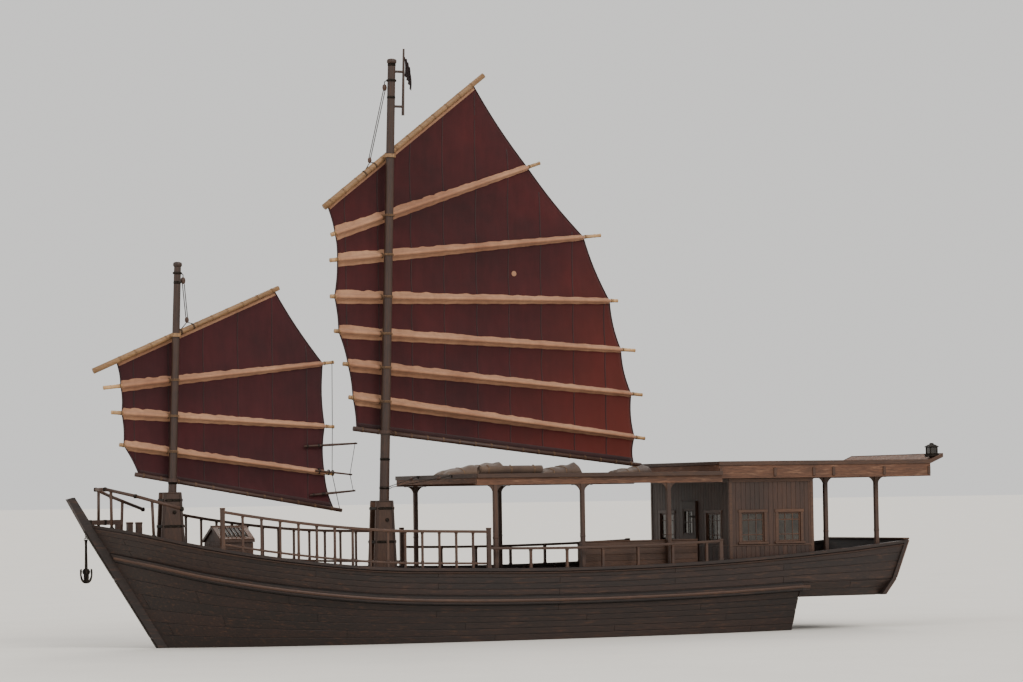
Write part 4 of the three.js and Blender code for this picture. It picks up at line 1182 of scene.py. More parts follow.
for d in (-0.25, -0.02, 0.08):
    p = end + run * d + Vector((0, 0.026, 0.02))
    hoops(ties, [p + run * turn for turn in THREE_TURNS], run, 0.062, 0.010, 16, 5)
bars.make("fore_leech_bars", "boom", "spar_wood", "fore_rig", True)
ends = [spar_point("fore", spar, 1.0, spar.past_leech - 0.04)[0] for spar in SPARS["fore"][1:]]
tips.insert(1, end + run * 0.5 + Vector((0, 0.05, 0.04)))
for line, radius, ring in ((ends, 0.008, (0.040, 0.012, 14, 5)), (tips, 0.007, (0.024, 0.010, 12, 5))):
    for a, b in zip(line, line[1:]):
        ties.tube([a, b], radius, 6)
        hoops(ties, (a, b), (1, 0, 0.1), *ring)
ties.make("fore_sheet_spans", "tarred", "sail_cloth", "fore_rig", True)

# A round mend in the main sail, on both its faces.
MEND_PANEL, MEND_X, MEND_Z = 2, -0.5, 8.40
upper, lower = SPARS["main"][MEND_PANEL:MEND_PANEL + 2]
patch = Kit()
rings = []
for radius, lift in ((0.001, 0.0052), (0.05, 0.0052), (0.062, 0.0035),
                     (0.062, -0.0035), (0.05, -0.0052), (0.001, -0.0052)):
    ring = []
    for d in spokes(AHEAD * radius, UP * radius, 16):
        x = MEND_X + d.x
        top_z, low_z = (on_spar(spar, share_at(spar, x)).y for spar in (upper, lower))
        t = (top_z - MEND_Z - d.z) / (top_z - low_z)
        ring.append(cloth_at("main", MEND_PANEL, share_down("main", MEND_PANEL, x, t), t) + PORT * lift)
    rings.append(ring)
patch.rings(rings)
sewn(patch, "main", "sail_mend", "sleeve")

for rig, (cloth, *pieces) in cloths.items():
    luffs, leeches = ([on_spar(spar, s) for spar in SPARS[rig]] for s in (0, 1))
    outline = luffs + leeches[::-1]
    wide = max(p.x for p in luffs) - min(p.x for p in leeches)
    tall = max(p.y for p in outline) - min(p.y for p in outline)
    [spar.node for spar in SPARS[rig]]
    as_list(pieces)

# Iron bands on the masts, and trucks on their heads.
fittings, truck = Kit(), Kit()
for rig, bands in (("main", (3.45, 4.1, 12.35, 13.1)), ("fore", (3.62, 8.05))):
    for z in bands:
        centre, radius = mast_at(rig, z)
        fittings.hoop(centre, mast_axis(rig), radius + 0.001, 0.012, 28, 4, 0.06)
    centre, r = mast_at(rig, MASTS[rig].head[1])
    profile = [(-0.10, r + 0.004), (-0.08, r + 0.022), (-0.03, r + 0.022),
               (-0.012, r + 0.012), (0.0, r + 0.002), (0.012, r * 0.5)]
    truck.lathe(centre, mast_axis(rig), profile, 24)
fittings.make("mast_bands", "iron", "iron", smooth=True)
truck.make("mast_trucks", "mast", "mast_wood", smooth=True)

# Limp pennant on the masthead staff.
grid = []
for v in shares(DOWN):
    row = []
    for u in shares(ACROSS):
        depth = 0.052 * min(1, 6 * u) * (1 - 0.35 * v)
        row.append((2.350 - 0.15 * u - 0.02 * math.sin(3 * v), depth * math.sin(8 * math.pi * u + 0.9 * v),
                    13.30 - 0.44 * v - 0.34 * u ** 1.5))
    grid.append(row)
pennant = thin_sheet("masthead_pennant", grid, "hem", "sail_cloth", thick=0.003)


# Tabernacles, stays and deck fittings

cheeks, bolts = Kit(), Kit()
for rig, top, inner in (("main", 3.15, 0.124), ("fore", 3.40, 0.104)):
    foot_x, foot_z = MASTS[rig].foot
    outer = inner + 0.065
    low = deck_z(foot_x) + 0.003
    for z in (low + 0.22, lerp(low, top, 0.55), top - 0.16):
        t = (z - (foot_z - 0.2)) / (top - (foot_z - 0.2))
        fore, aft = foot_x + lerp(0.31, 0.20, t), foot_x - lerp(0.33, 0.22, t)
        for side in SIDES:
            bolts.box((aft - 0.006, side * (outer - 0.001), z - 0.03),
                      (fore + 0.006, side * (outer + 0.010), z + 0.03), 0.003)
            for x in (aft + 0.05, (aft + fore) / 2, fore - 0.05):
                head = [(0, 0.020), (0.012, 0.018), (0.018, 0.010)]
                bolts.lathe((x, side * (outer + 0.009), z), PORT * side, head, 10)
        for x, way in ((fore, 1), (aft, -1)):
            bolts.box((x, -outer - 0.010, z - 0.03), (x + way * 0.012, outer + 0.010, z + 0.03), 0.003)
    # Raised edges of the cheeks, a heel beam and the pin that the mast turns on when it is lowered.
    for side in SIDES:
        y, middle = side * (outer + 0.006), side * (inner + 0.0325)
        for low_x, top_x in ((0.2695, 0.165), (-0.2891, -0.185)):
            cheeks.beam((foot_x + low_x, y, low), (foot_x + top_x, y, top - 0.012), 0.055, 0.016,
                        Vector((1, 0, 0.1)), 0.004)
        cheeks.box((foot_x - 0.215, middle - 0.04, top - 0.02),
                   (foot_x + 0.195, middle + 0.04, top + 0.018), 0.010)
        cheeks.box((foot_x - 0.36, side * (outer + 0.002), low - 0.002),
                   (foot_x + 0.34, side * (outer + 0.075), low + 0.11), 0.016)
    pin = top - 0.42
    for side in (-1, 1):
        bolts.lathe((mast_at(rig, pin)[0].x, side * (outer + 0.03), pin), PORT * -side,
                    [(0, 0.03), (0.008, 0.042), (0.026, 0.042), (0.030, 0.036)], 16)
cheeks.make("tabernacle_trim", "hull_up", "timber")
bolts.make("tabernacle_ironwork", "iron", "iron")

# Stays from the main mast to the canopy's front beam.
stays, irons = Kit(), Kit()
centre, radius = mast_at("main", 3.45)
for side, name in ((1, "port"), (-1, "starboard")):
    start = centre + Vector((-radius * 0.5, side * radius * 0.85, 0.0))
    end = Vector((1.742, side * 0.95, 3.700))
    way = (end - start).normalized()
    irons.hoop(start + way * 0.035, way.cross(UP), 0.028, 0.012, 14, 5)
    irons.hoop(end - way * 0.020, way.cross(UP), 0.026, 0.012, 14, 5)
    irons.box((1.722, side * 0.95 - 0.03, 3.655), (1.738, side * 0.95 + 0.03, 3.722), 0.003)
    block, middle = Kit(), start.lerp(end, 0.80)
    pulley(block, middle, 0.11, way, 0.6)
    block.make("stay_block_" + name, "timber", "timber", smooth=True)
    stays.tube([start + way * 0.055, middle], 0.009, 6)
    for lift in (-0.014, 0.014):
        stays.tube([middle + UP * lift, end - way * 0.035], 0.007, 6)
stays.make("canopy_stays", "tarred", "timber")
irons.make("stay_ironwork", "iron", "iron", smooth=True)

# Hatch: boards and rope handles on the lid, hinges, and a frame round the coaming.
lid = Kit()
for k in range(8):
    y = -0.60 + 0.15 * k
    for x0, x1 in ((4.664, 4.896), (4.984, 5.696), (5.784, 6.036)):
        lid.box((x0, y + 0.003, 1.648), (x1, y + 0.147, 1.660), 0.004)
for x0, x1 in ((4.897, 4.983), (5.697, 5.783)):
    lid.box((x0, -0.565, 1.655), (x1, 0.565, 1.690), 0.012)
for k in range(8):
    y = -0.494 + 0.1235 * k
    lid.box((4.766, y + 0.003, 1.592), (5.934, y + 0.1205, 1.601), 0.003)
for x in (4.98, 5.72):
    lid.box((x - 0.04, -0.485, 1.572), (x + 0.04, 0.485, 1.593), 0.006)
lid.make("hatch_lid_boards", "beam", "timber", "hatch_lid")
hinges, leaves, handles, surround = Kit(), Kit(), Kit(), Kit()
for y in (-0.38, 0.38):
    hinges.box((4.640, y - 0.022, 1.659), (4.90, y + 0.022, 1.668), 0.003)
    hinges.box((4.640, y - 0.022, 1.602), (4.651, y + 0.022, 1.668), 0.003)
    for x in (4.72, 4.80, 4.87):
        hinges.lathe((x, y, 1.667), UP, [(0, 0.010), (0.004, 0.008), (0.006, 0.003)], 8)
    hinges.tube([(4.66, y - 0.026, 1.6003), (4.66, y + 0.026, 1.6003)], 0.012, 12)
    leaves.box((4.691, y - 0.020, 1.47), (4.7005, y + 0.020, 1.58), 0.003)
    for z in (1.495, 1.545):
        leaves.lathe((4.692, y, z), -AHEAD, [(0, 0.009), (0.003, 0.007), (0.005, 0.003)], 8)
hinges.make("hatch_hinge_straps", "iron", "iron", "hatch_lid")
leaves.make("hatch_hinge_leaves", "iron", "iron")
for x in (4.94, 5.74):
    for side in SIDES:
        arc = [math.pi * j / 10 for j in range(11)]
        line = [(x, side * (0.40 + 0.09 * math.cos(a)), 1.686 + 0.055 * math.sin(a)) for a in arc]
        handles.tube(line, 0.011)
handles.make("hatch_handles", "rope", "timber", "hatch_lid", True)
for side in SIDES:
    surround.box((4.69, side * 0.558, deck_z(5.35) + 0.03), (6.01, side * 0.580, 1.50), 0.006)
    surround.box((4.70, side * 0.558, 1.515), (6.00, side * 0.580, 1.585), 0.006)
    for x in (4.76, 5.35, 5.94):
        surround.box((x - 0.04, side * 0.578, deck_z(x) + 0.004), (x + 0.04, side * 0.600, 1.575), 0.006)
for x, way, top in ((6.0, 1, 1.585), (4.7, -1, 1.570)):
    for z0, z1 in ((deck_z(x) + 0.006, 1.50), (1.515, top)):
        surround.box((x - way * 0.002, -0.56, z0), (x + way * 0.020, 0.56, z1), 0.006)
surround.make("hatch_frame", "beam", "timber")

# Skylight: boards, corner posts, and bars over two sloping panes.
SKYLIGHT_RIDGE = Vector((0, 0, 2.65))
SLOPE_DROP, SLOPE_RUN = 0.30, 0.56
sky, glazing, frames = Kit(), Kit(), Kit()
for side in SIDES:
    for z0, z1 in cells(deck_z(6.75) + 0.02, 2.285, 5):
        sky.box((6.42, side * 0.518, z0 + 0.002), (7.08, side * 0.530, z1 - 0.002), 0.004)
    for x, way in ((6.38, -1), (7.12, 1)):
        sky.box((x - way * 0.045, side * 0.475, deck_z(x) + 0.004),
                (x + way * 0.013, side * 0.533, 2.288), 0.008)
    n = Vector((0, side * SLOPE_DROP, SLOPE_RUN)).normalized()
    down = Vector((0, side * SLOPE_RUN, -SLOPE_DROP)).normalized()
    for kit, x0, x1, d0, d1, proud, cut in (
        (glazing, 6.46, 7.04, 0.10, 0.53, 0.006, 0.001),
        (frames, 6.345, 7.155, 0.012, 0.10, 0.018, 0.004), (frames, 6.345, 7.155, 0.53, 0.63, 0.018, 0.004),
        (frames, 6.345, 6.46, 0.10, 0.53, 0.018, 0.004), (frames, 7.04, 7.155, 0.10, 0.53, 0.018, 0.004),
    ):
        lines = ([AHEAD * x + SKYLIGHT_RIDGE + down * d for x in (x0, x1)] for d in (d0, d1))
        kit.slat(*lines, n, proud, cut)
    for k in range(1, 6):
        low = AHEAD * lerp(6.46, 7.04, k / 6) + SKYLIGHT_RIDGE + n * 0.022
        frames.tube([low + down * 0.07, low + down * 0.56], 0.009)
frames.beam((6.33, 0, 2.652), (7.17, 0, 2.652), 0.09, 0.03)
for x, way in ((7.12, 1), (6.38, -1)):
    for y0, y1 in cells(-0.475, 0.475, 7):
        sky.box((x - way * 0.002, y0 + 0.002, deck_z(x) + 0.02), (x + way * 0.010, y1 - 0.002, 2.30), 0.004)
sky.make("skylight_boards", "timber", "timber")
glazing.make("skylight_panes", "glass", "timber")
frames.make("skylight_frame", "trim", "timber")

# Benches: slats on the seats and, to port, on a back.
slats = Kit()
for side in SIDES:
    for k in range(4):
        y = 1.645 + 0.105 * k
        slats.box((-3.895, side * y, 1.488), (-0.305, side * (y + 0.097), 1.502), 0.004)
    for x in (-3.87, -2.07, -0.33):
        slats.box((x - 0.03, side * 1.70, 1.36), (x + 0.03, side * 2.085, 1.44), 0.008)
for k in range(5):
    for y0, y1, low, high, step in ((2.058, 2.072, 1.52, 1.636, 0.128), (2.118, 2.130, 1.445, 1.581, 0.141)):
        slats.box((-3.895, y0, low + step * k), (-0.905, y1, high + step * k), 0.004)
slats.box((-3.91, 2.050, 2.150), (-0.89, 2.134, 2.182), 0.010)
for x in (-3.87, -2.40, -0.93):
    slats.box((x - 0.022, 2.035, 1.50), (x + 0.022, 2.07, 2.15), 0.008)
slats.make("bench_slats", "beam", "timber")

# Bitts: caps, collars and turns of rope.
BITT_X, BITT_Y, BITT_BAR_Z = 8.95, 0.31, 2.40
caps, windings, bar = Kit(), Kit(), Kit()
low = deck_z(BITT_X)
for side in SIDES:
    for half, z0, z1, cut in ((0.072, 2.730, 2.775, 0.018), (0.066, 2.27, 2.31, 0.010),
                              (0.085, low + 0.004, low + 0.09, 0.020)):
        caps.pad(BITT_X, side * BITT_Y, half, z0, z1, cut)
    caps.lathe((BITT_X, side * 0.52, BITT_BAR_Z), PORT * -side,
               [(-0.012, 0.030), (0.0, 0.062), (0.03, 0.066), (0.045, 0.058)], 16)
for k in range(7):
    windings.hoop((BITT_X, -0.09 + 0.030 * k, BITT_BAR_Z), (0, 1, 0.08 * (-1) ** k), 0.070, 0.029, 20, 7)
caps.make("bitt_caps", "timber", "timber")
windings.make("bitt_rope_turns", "rope", "timber", smooth=True)
bar.tube([(BITT_X, y, BITT_BAR_Z) for y in (-0.515, -0.375, 0.375, 0.515)], 0.057, 18)
bar.make("bitt_bar", "cross", "timber", smooth=True)

# Cathead irons and the anchor on its chain.
ANCHOR_X, ANCHOR_Y = 9.98, -0.24
LINKS, LINK_PITCH, LINK_THICK = 5, 0.052, 0.0065
irons = Kit()
for x in (9.54, 9.88):
    irons.box((x - 0.025, -0.296, 2.714), (x + 0.025, -0.184, 2.836), 0.006)
irons.box((10.072, -0.296, 2.712), (10.086, -0.184, 2.838), 0.003)
irons.make("cathead_bands", "iron", "iron")


def under_cathead(z, dx=0.0, dy=0.0):
    """A point near the upright line that the anchor hangs on."""
    return Vector((ANCHOR_X + dx, ANCHOR_Y + dy, z))


anchor = Kit()
anchor.lathe(under_cathead(2.7197), -UP, [(0, 0.030), (0.012, 0.034), (0.03, 0.020), (0.05, 0.012)], 14)
for k in range(LINKS):
    way, side = (AHEAD, PORT) if k % 2 else (PORT, AHEAD)
    rings = []
    for out in spokes(way, UP, 20):
        rise = 0.017 * out.z + math.copysign(0.014, out.z)
        centre = under_cathead(2.660 - k * LINK_PITCH + rise) + way * 0.019 * out.dot(way)
        rings.append([centre + d for d in spokes(out * LINK_THICK, side * LINK_THICK, 6)])
    anchor.rings(rings, True)
anchor.hoop(under_cathead(2.405), PORT, 0.040, 0.016, 22, 8)
anchor.tube([under_cathead(2.372, dy=dy) for dy in (-0.045, 0.045)], 0.010)
anchor.lathe(under_cathead(2.410), -UP, [
    (0, 0.012), (0.012, 0.028), (0.05, 0.032), (0.09, 0.028), (0.12, 0.027), (0.70, 0.036),
    (0.76, 0.038), (0.775, 0.058), (0.785, 0.060), (0.85, 0.060), (0.862, 0.050), (0.90, 0.044),
    (0.945, 0.036), (0.960, 0.018),
], 20)
for dx, dy in ((1, 0), (-1, 0), (0, 1), (0, -1)):
    line, radii = [], []
    for t in shares(12):
        reach = 0.02 + 0.098 * math.sin(t * 1.75) ** 0.9 + 0.012 * t
        line.append(under_cathead(1.478 + 0.02 * t + 0.262 * t ** 2.1, dx * reach, dy * reach))
        radii.append(lerp(0.030, 0.013, t ** 1.5))
    anchor.tube(line, radii, 10)
    inward, side = Vector((-dx, -dy, 0)), Vector((dy, dx, 0))
    palm = []
    for f in shares(7):
        wide = 0.047 * math.sin(math.pi * (0.10 + 0.80 * f)) + 0.004
        p = line[-1] + UP * (0.012 - 0.135 * f) + inward * (0.016 - 0.006 * f)
        palm.append([p + side * wide * a + inward * b for a, b in (
            (1, 0.002), (0.6, 0.007), (-0.6, 0.007), (-1, 0.002), (-1, -0.002), (1, -0.002))])
    anchor.rings(palm)
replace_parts(anchor.make("anchor_detail", "iron", "iron", smooth=True), "anchor")

# Bow: iron shoe on the stem, and caps and shoes on the rail.
bow, knobs = Kit(), Kit()
for ends in ((-1.1, 0.2), (0.25, 1.5), (1.55, 2.6)):
    a, b = (Vector((8.444 + 0.637 * z, 0, z)) for z in ends)
    bow.beam(a, b, 0.12, 0.020, PORT, 0.005)
bow.make("stem_shoe", "iron", "iron")
BOW_RAIL = ((8.30, 1.29, 3.05), (9.20, 0.83, 3.34), (9.72, 0.325, 3.50))
BOW_RISES = (8.88, 9.62)
for x, y, z in BOW_RAIL:
    for side in SIDES:
        knobs.lathe((x, side * y, z - 0.050), UP,
                    [(0, 0.030), (0.012, 0.043), (0.055, 0.048), (0.085, 0.040), (0.095, 0.022)], 14)
for x in BOW_RISES:
    for side in SIDES:
        knobs.lathe((x, side * (sheer_y(x) - 0.062), sheer_z(x) - 0.002), UP,
                    [(0, 0.056), (0.018, 0.056), (0.028, 0.042), (0.032, 0.034)], 16)
knobs.make("bow_rail_knobs", "iron", "iron", smooth=True)

# Rounded rails of the balustrades and the bow, and posts with eased edges.
# Each rail: x at both ends, height over the sheer, width, depth, and steps along it.
RAILS = (
    (1.48, 7.56, 0.84, 0.075, 0.055, 12),
    (1.48, 7.56, 0.13, 0.045, 0.040, 12),
    (-4.42, 1.56, 0.47, 0.075, 0.050, 8),
)
EASE = 0.004
RAIL_INSET = 0.038


def rounded(wide, tall, radius):
    """Points round a rectangle with round corners, the way that a rail is cut."""
    points = []
    for cy, cz, start in ((1, 1, 0), (-1, 1, 90), (-1, -1, 180), (1, -1, 270)):
        for a in (math.radians(start + 30 * k) for k in range(4)):
            points.append((cy * (wide / 2 - radius) + radius * math.cos(a),
                           cz * (tall / 2 - radius) + radius * math.sin(a)))
    return points


rails, poles, columns = Kit(), Kit(), Kit()
for side in SIDES:
    for x0, x1, height, wide, tall, n in RAILS:
        xs = [lerp(x0, x1, t) for t in shares(n)]
        line = [(x, sheer_y(x) - RAIL_INSET, sheer_z(x) + height - tall / 2) for x in xs]
        rails.moulding(line, rounded(wide + 2 * EASE, tall + 2 * EASE, 0.3 * tall), side)
    turned = [Vector((x, side * y, z)) for x, y, z in BOW_RAIL]
    for a, b in zip(turned, turned[1:]):
        poles.tube([a, b], 0.037, 16)
    for x in BOW_RISES:
        a, b = turned[:2] if x < turned[1].x else turned[1:]
        head = a.lerp(b, (x - a.x) / (b.x - a.x))
        poles.tube([(x, side * (sheer_y(x) - 0.062), sheer_z(x) + 0.002), head], 0.033, 14)
poles.tube([(9.72, -0.325, 3.50), (9.72, 0.325, 3.50)], 0.037, 16)
for x, y, top in posts:
    columns.beam((x, y, deck_z(x) + 0.002), (x, y, top + 0.001), 0.097, 0.097, AHEAD, 0.016)
rails.make("balustrade_rails", "beam", "timber")
poles.make("bow_rail_poles", "beam", "timber", smooth=True)
columns.make("post_sleeves", "timber", "timber")

# Balustrades: caps on the end posts, and collars at both ends of each post.
collars = Kit()
for side in SIDES:
    for xs, cut, bands in (
        ((7.52, 1.52), 0.012, ((0.86, 0.902, 0.052), (-0.02, 0.06, 0.056))),
        ((-4.38,), 0.012, ((0.45, 0.492, 0.052), (-0.02, 0.06, 0.056))),
        ([1.9 + 0.4 * k for k in range(14)], 0.008, ((0.135, 0.165, 0.031), (0.755, 0.782, 0.031))),
        ([-4.0 + 0.9 * k for k in range(6)], 0.009, ((-0.01, 0.035, 0.036), (0.385, 0.42, 0.036))),
    ):
        for x in xs:
            y, z = side * (sheer_y(x) - RAIL_INSET), sheer_z(x)
            for low, high, half in bands:
                collars.pad(x, y, half, z + low, z + high, cut)
collars.make("balustrade_collars", "timber", "timber")


# Stern board: planks, frame and rail

def stern_point(y, z, out=0.0):
    """A point on the aft face of the stern board."""
    if z < 1.15:
        x = lerp(-9.015, -9.315, (z - 0.78) / 0.37)
    else:
        x = lerp(-9.315, -9.685, min(1, (z - 1.15) / 0.89))
    return Vector((x - out, y, z))


stern = Kit()
n = Vector((-1, 0, -0.3)).normalized()
for ends in ((0.80, 1.14), (1.16, 1.44), (1.45, 1.73), (1.74, 2.02)):
    for a, b in ((-1.86, -0.62), (-0.615, 0.615), (0.62, 1.86)):
        stern.slat(*([stern_point(y, z) for z in ends] for y in (b, a)), n, 0.012, 0.005)
for y in (-1.86, -0.62, 0.62, 1.86):
    for low, high in ((1.17, 2.05), (0.79, 1.15)):
        stern.beam(stern_point(y, low, 0.014), stern_point(y, high, 0.014), 0.09, 0.035, PORT, 0.010)
stern.beam(stern_point(-1.90, 2.085, -0.045), stern_point(1.90, 2.085, -0.045), 0.16, 0.045, AHEAD, 0.014)
stern.beam(stern_point(-1.88, 1.155, 0.010), stern_point(1.88, 1.155, 0.010), 0.07, 0.05, UP, 0.012)
stern.make("stern_board_planks", "cross", "hull_wood")

# Transom below the gallery, and the gallery's underside and sides.
under = Kit()
for y0 in (-1.62 + 0.36 * k for k in range(9)):
    if y0 >= 0.16 or y0 + 0.35 <= -0.16:
        lines = ([(x, y, GALLERY_BOTTOM) for x in (-8.91, -6.62)] for y in (y0 + 0.35, y0))
        under.slat(*lines, -UP, 0.010, 0.005)
for side in SIDES:
    grid = []
    for (x, y), e in GALLERY:
        head, foot = (e.deck_x, e.deck_y, e.deck_z), (x, y, GALLERY_BOTTOM)
        middle = Vector([lerp(a, b, 0.5) for a, b in zip(head, foot)])
        grid.append([Vector(head) - UP * 0.02, middle, Vector(foot) + UP * 0.012])
    planked(under, grid, 0.012, 3, 1, sides=(side,))
transom = section(ROWS[0])
for ends in ((-0.285, -0.215), (-0.205, -0.120), (-0.110, 0.175), (0.185, 0.470), (0.480, 0.765)):
    for side in SIDES:
        lines = []
        for z in ends[::-1]:
            a, b = next((a, b) for a, b in zip(transom, transom[1:]) if b.z <= z)
            half = lerp(a.y, b.y, (a.z - z) / (a.z - b.z)) + 0.010
            lines.append([(transom[0].x, side * y, z) for y in (0.085, half)])
        under.slat(*lines, -AHEAD, 0.012, 0.005)
under.make("gallery_planks", "hull", "hull_wood")

# Rudder: boards, straps, and the tiller's grip.
blade, straps, grip = Kit(), Kit(), Kit()
for k in range(6):
    x0, x1 = -8.145 + 0.168 * k, -8.145 + 0.168 * (k + 1) - 0.006
    top = -0.10 if x1 < -7.2 and x0 > -7.98 else -0.16 if x1 > -7.2 else -0.30
    low = -1.17 if x0 > -8.05 else -1.06
    for side in SIDES:
        blade.box((x0, side * 0.041, low), (min(x1, -7.135), side * 0.050, top - 0.01), 0.003)
blade.make("rudder_boards", "hull_up", "timber", "rudder")
for z in (-0.35, -0.75, -1.08):
    for side in SIDES:
        straps.box((-8.10, side * 0.049, z - 0.035), (-7.38, side * 0.060, z + 0.035), 0.004)
        for x in (-8.0, -7.8, -7.6, -7.45):
            straps.lathe((x, side * 0.059, z), PORT * side, [(0, 0.016), (0.008, 0.014), (0.012, 0.006)], 10)
for z in (1.615, 1.715):
    straps.box((-7.416, -0.101, z - 0.016), (-7.184, 0.101, z + 0.016), 0.004)
TILLER_WAY = (-1.29, 0, 0.12)
straps.hoop((-8.36, 0, 1.764), TILLER_WAY, 0.036, 0.012, 18, 5, 0.04)
straps.make("rudder_straps", "iron", "iron", "rudder")
for k in range(14):
    t = 1.08 + 0.017 * k
    grip.hoop((-7.36 - t, 0, 1.68 + 0.12 * t / 1.29), TILLER_WAY, 0.035 - 0.0008 * k, 0.017, 16, 6)
grip.make("tiller_grip", "rope", "timber", "rudder", True)

# Lantern on the aft port corner of the roof.
LANTERN_X, LANTERN_Y, LANTERN_Z = -10.36, 1.93, 4.045
CORNERS = ((1, 1), (-1, 1), (-1, -1), (1, -1))
case, panes = Kit(), Kit()
case.pad(LANTERN_X, LANTERN_Y, 0.13, LANTERN_Z - 0.03, LANTERN_Z + 0.045, 0.012)
for dx, dy in ((1, 1), (1, -1), (-1, 1), (-1, -1)):
    x, y = LANTERN_X + dx * 0.095, LANTERN_Y + dy * 0.095
    case.pad(x, y, 0.012, LANTERN_Z + 0.04, LANTERN_Z + 0.205, 0.004)
case.rings([[(LANTERN_X + a * half, LANTERN_Y + b * half, LANTERN_Z + z) for a, b in CORNERS]
            for half, z in ((0.125, 0.198), (0.130, 0.206), (0.122, 0.216), (0.060, 0.262),
                            (0.040, 0.268), (0.036, 0.292), (0.020, 0.300))])
panes.pad(LANTERN_X, LANTERN_Y, 0.092, LANTERN_Z + 0.044, LANTERN_Z + 0.199, 0.010)
case.make("stern_lantern", "iron", "iron")
panes.make("stern_lantern_glass", "glass", "iron")


# Canvas on the canopy: a rolled awning, and covers over stowed gear

def grid_size(grid):
    """Lengths of the middle row and the middle column of a cloth, and its area."""
    column = [row[len(row) // 2] for row in grid]
    size = [sum((b - a).length for a, b in zip(line, line[1:])) for line in (grid[len(grid) // 2], column)]
    area = 0
    for r0, r1 in zip(grid, grid[1:]):
        for a, b, c, d in zip(r0, r0[1:], r1, r1[1:]):
            area += (c - b).cross(d - a).length / 2
    return size, area


ROLL_TURNS, PER_TURN, ALONG_ROLL = 8.75, 22, 30
ROLL_Y, ROLL_Z = 0.90, 3.82
TIE_XS = (0.82, 0.25, -0.33)
grid = []
for i in range(int(ROLL_TURNS * PER_TURN) + 1):
    a = 2 * math.pi * i / PER_TURN
    row = []
    for t in shares(ALONG_ROLL):
        x = lerp(1.02, -0.53, t) + 0.010 * math.sin(a * 0.7)
        pinch = 1 - 0.10 * sum(math.exp(-((x - tie) / 0.05) ** 2) for tie in TIE_XS)
        r = (0.016 + 0.0098 * a / (2 * math.pi) * 1.13) * pinch
        row.append(Vector((x, ROLL_Y + r * 1.06 * math.cos(a), ROLL_Z + r * 0.93 * math.sin(a))))
    grid.append(row)
roll = thin_sheet("awning_canvas_roll", grid, "awning", "awning_cloth")
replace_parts(roll, "awning_roll")
ties = Kit()
for x in TIE_XS:
    hoops(ties, [(x + shift, ROLL_Y, ROLL_Z) for shift in (-0.012, 0.012)], AHEAD, 0.101, 0.013, 26, 6)
    ties.tube([(x - 0.02, 0.86, 3.918), (x, 0.90, 3.934), (x + 0.02, 0.94, 3.918)], 0.012)
tie_piece = ties.make("awning_ties", "rope", "awning_cloth", smooth=True)
tuple(grid_size(grid)[0])

COVER_ALONG, COVER_ACROSS = 56, 40
CANOPY_CLEAR = 3.7265


def cover(name, x0, x1, y0, y1, height, seed):
    """A canvas cover drawn over stowed gear, higher at its aft end, with its hem on the canopy."""
    grid = []
    for v in shares(COVER_ACROSS):
        row = []
        for u in shares(COVER_ALONG):
            side = max(0.0, math.sin(math.pi * v)) ** 0.45
            end = min(1.0, u / 0.06) ** 0.7 * min(1.0, (1 - u) / 0.05) ** 0.7
            rise = height * (0.30 + 0.70 * u ** 0.9) * side * end
            lumps = 0.10 * math.sin(9 * u + seed) * math.sin(2.4 * math.pi * v)
            lumps += 0.06 * math.sin(23 * u + 5 * v + seed)
            folds = 0.035 * math.sin(38 * u + 9 * v + seed) * (1 - side)
            bulge = 0.03 * math.sin(14 * u + seed) * (2 * v - 1)
            row.append(Vector((lerp(x0, x1, u) + 0.012 * math.sin(17 * v + seed), lerp(y0, y1, v) + bulge,
                               CANOPY_CLEAR + max(0.0, rise * (1 + lumps + folds)))))
        grid.append(row)
    size, area = grid_size(grid)
    obj = thin_sheet(name, grid, "awning", "awning_cloth")
    ropes = Kit()
    for u in (0.30, 0.62):
        ropes.tube([row[int(u * COVER_ALONG)] + UP * 0.009 for row in grid], 0.008, 6)
    rope_piece = ropes.make(name + "_ties", "rope", "awning_cloth", smooth=True)
    max(size)
    max(min(size), area / max(size) * 0.98)


cover("fore_cover", 1.60, 0.10, -0.35, 0.45, 0.30, 0.7)
cover("aft_cover", -0.78, -1.80, -0.40, 0.50, 0.24, 2.1)
cover("small_cover", -2.45, -3.35, 0.35, 1.05, 0.17, 4.2)


# Floor and light

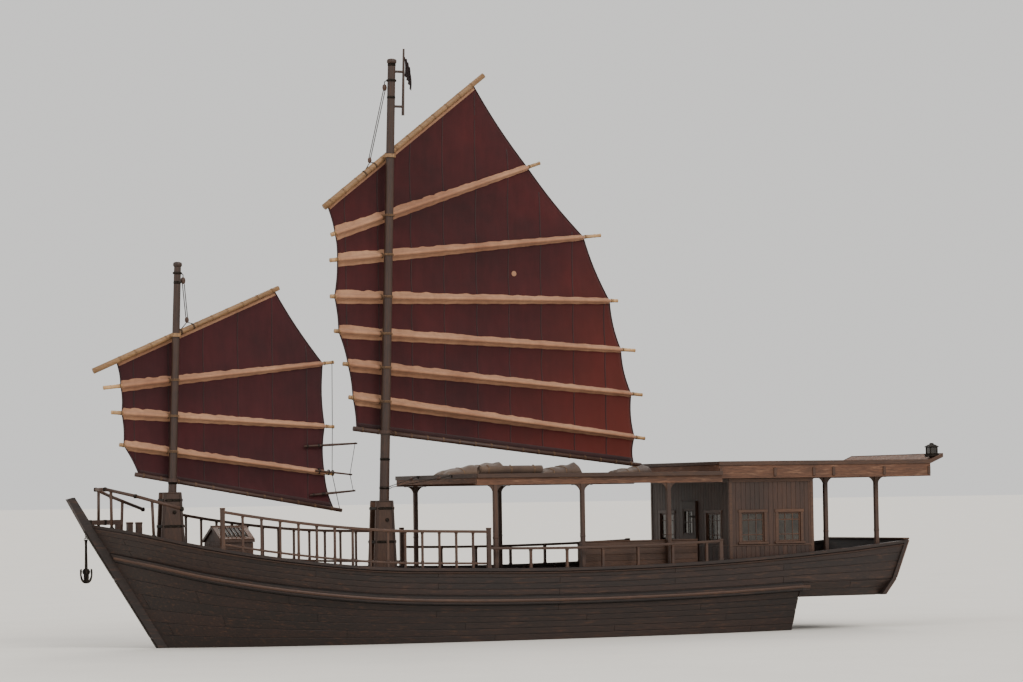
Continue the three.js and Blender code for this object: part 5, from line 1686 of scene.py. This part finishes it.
FLOOR_HALF = 3000
floor_mesh = bpy.data.meshes.new("floor")
corners = [(x * FLOOR_HALF, y * FLOOR_HALF, 0) for x, y in ((-1, -1), (1, -1), (1, 1), (-1, 1))]
floor_mesh.from_pydata(corners, [], [(0, 1, 2, 3)])
floor_mesh.materials.append(MAT["floor"])
linked("floor", floor_mesh)

world = bpy.data.worlds.new("studio")
bpy.context.scene.world = world
world.use_nodes = True
sky_light = world.node_tree.nodes["Background"].inputs
sky_light["Color"].default_value = (0.93, 0.92, 0.9, 1.0)
sky_light["Strength"].default_value = 1.0


def lamp(name, azimuth, height, strength, spread, colour=EVEN):
    """A soft far lamp. Azimuth is the way it stands, from +X towards +Y."""
    light = bpy.data.lights.new(name, "SUN")
    light.energy = strength
    light.angle = math.radians(spread)
    light.color = colour
    obj = linked(name, light)
    a, e = math.radians(azimuth), math.radians(height)
    way = Vector((math.cos(a) * math.cos(e), math.sin(a) * math.cos(e), math.sin(e)))
    obj.rotation_mode = "QUATERNION"
    obj.rotation_quaternion = way.to_track_quat("Z", "Y")


lamp("key", 100, 38, 1.7, 25, (1.0, 0.97, 0.93))
lamp("fill", 20, 30, 0.7, 40)
lamp("rim", 235, 35, 1.0, 30, (1.0, 0.96, 0.9))

LOOKS = {
    "hull": "seam", "keel": "seam", "stem_post": "hull", "deck": "seam", "gallery": "hull",
    "bulwark_port": "hull", "bulwark_starboard": "hull", "stern_board": "hull",
    "main_mast": "mast", "fore_mast": "mast", "canopy_roof": "roof", "roof_deck": "roof",
    "main_yard": "yard", "fore_yard": "yard", "main_boom": "boom", "fore_boom": "boom",
    "main_sail": "main_sail", "fore_sail": "fore_sail", "anchor": "iron", "propeller": "bronze",
    "awning_roll": "awning", "bench_port": "beam", "bench_starboard": "beam", "cathead": "beam",
    "hatch_lid": "beam", "hatch_coaming": "beam",
}
for name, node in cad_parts.items():
    node.data.materials.clear()
    node.data.materials.append(MAT[LOOKS.get(name, "spar" if "batten" in name else "timber")])
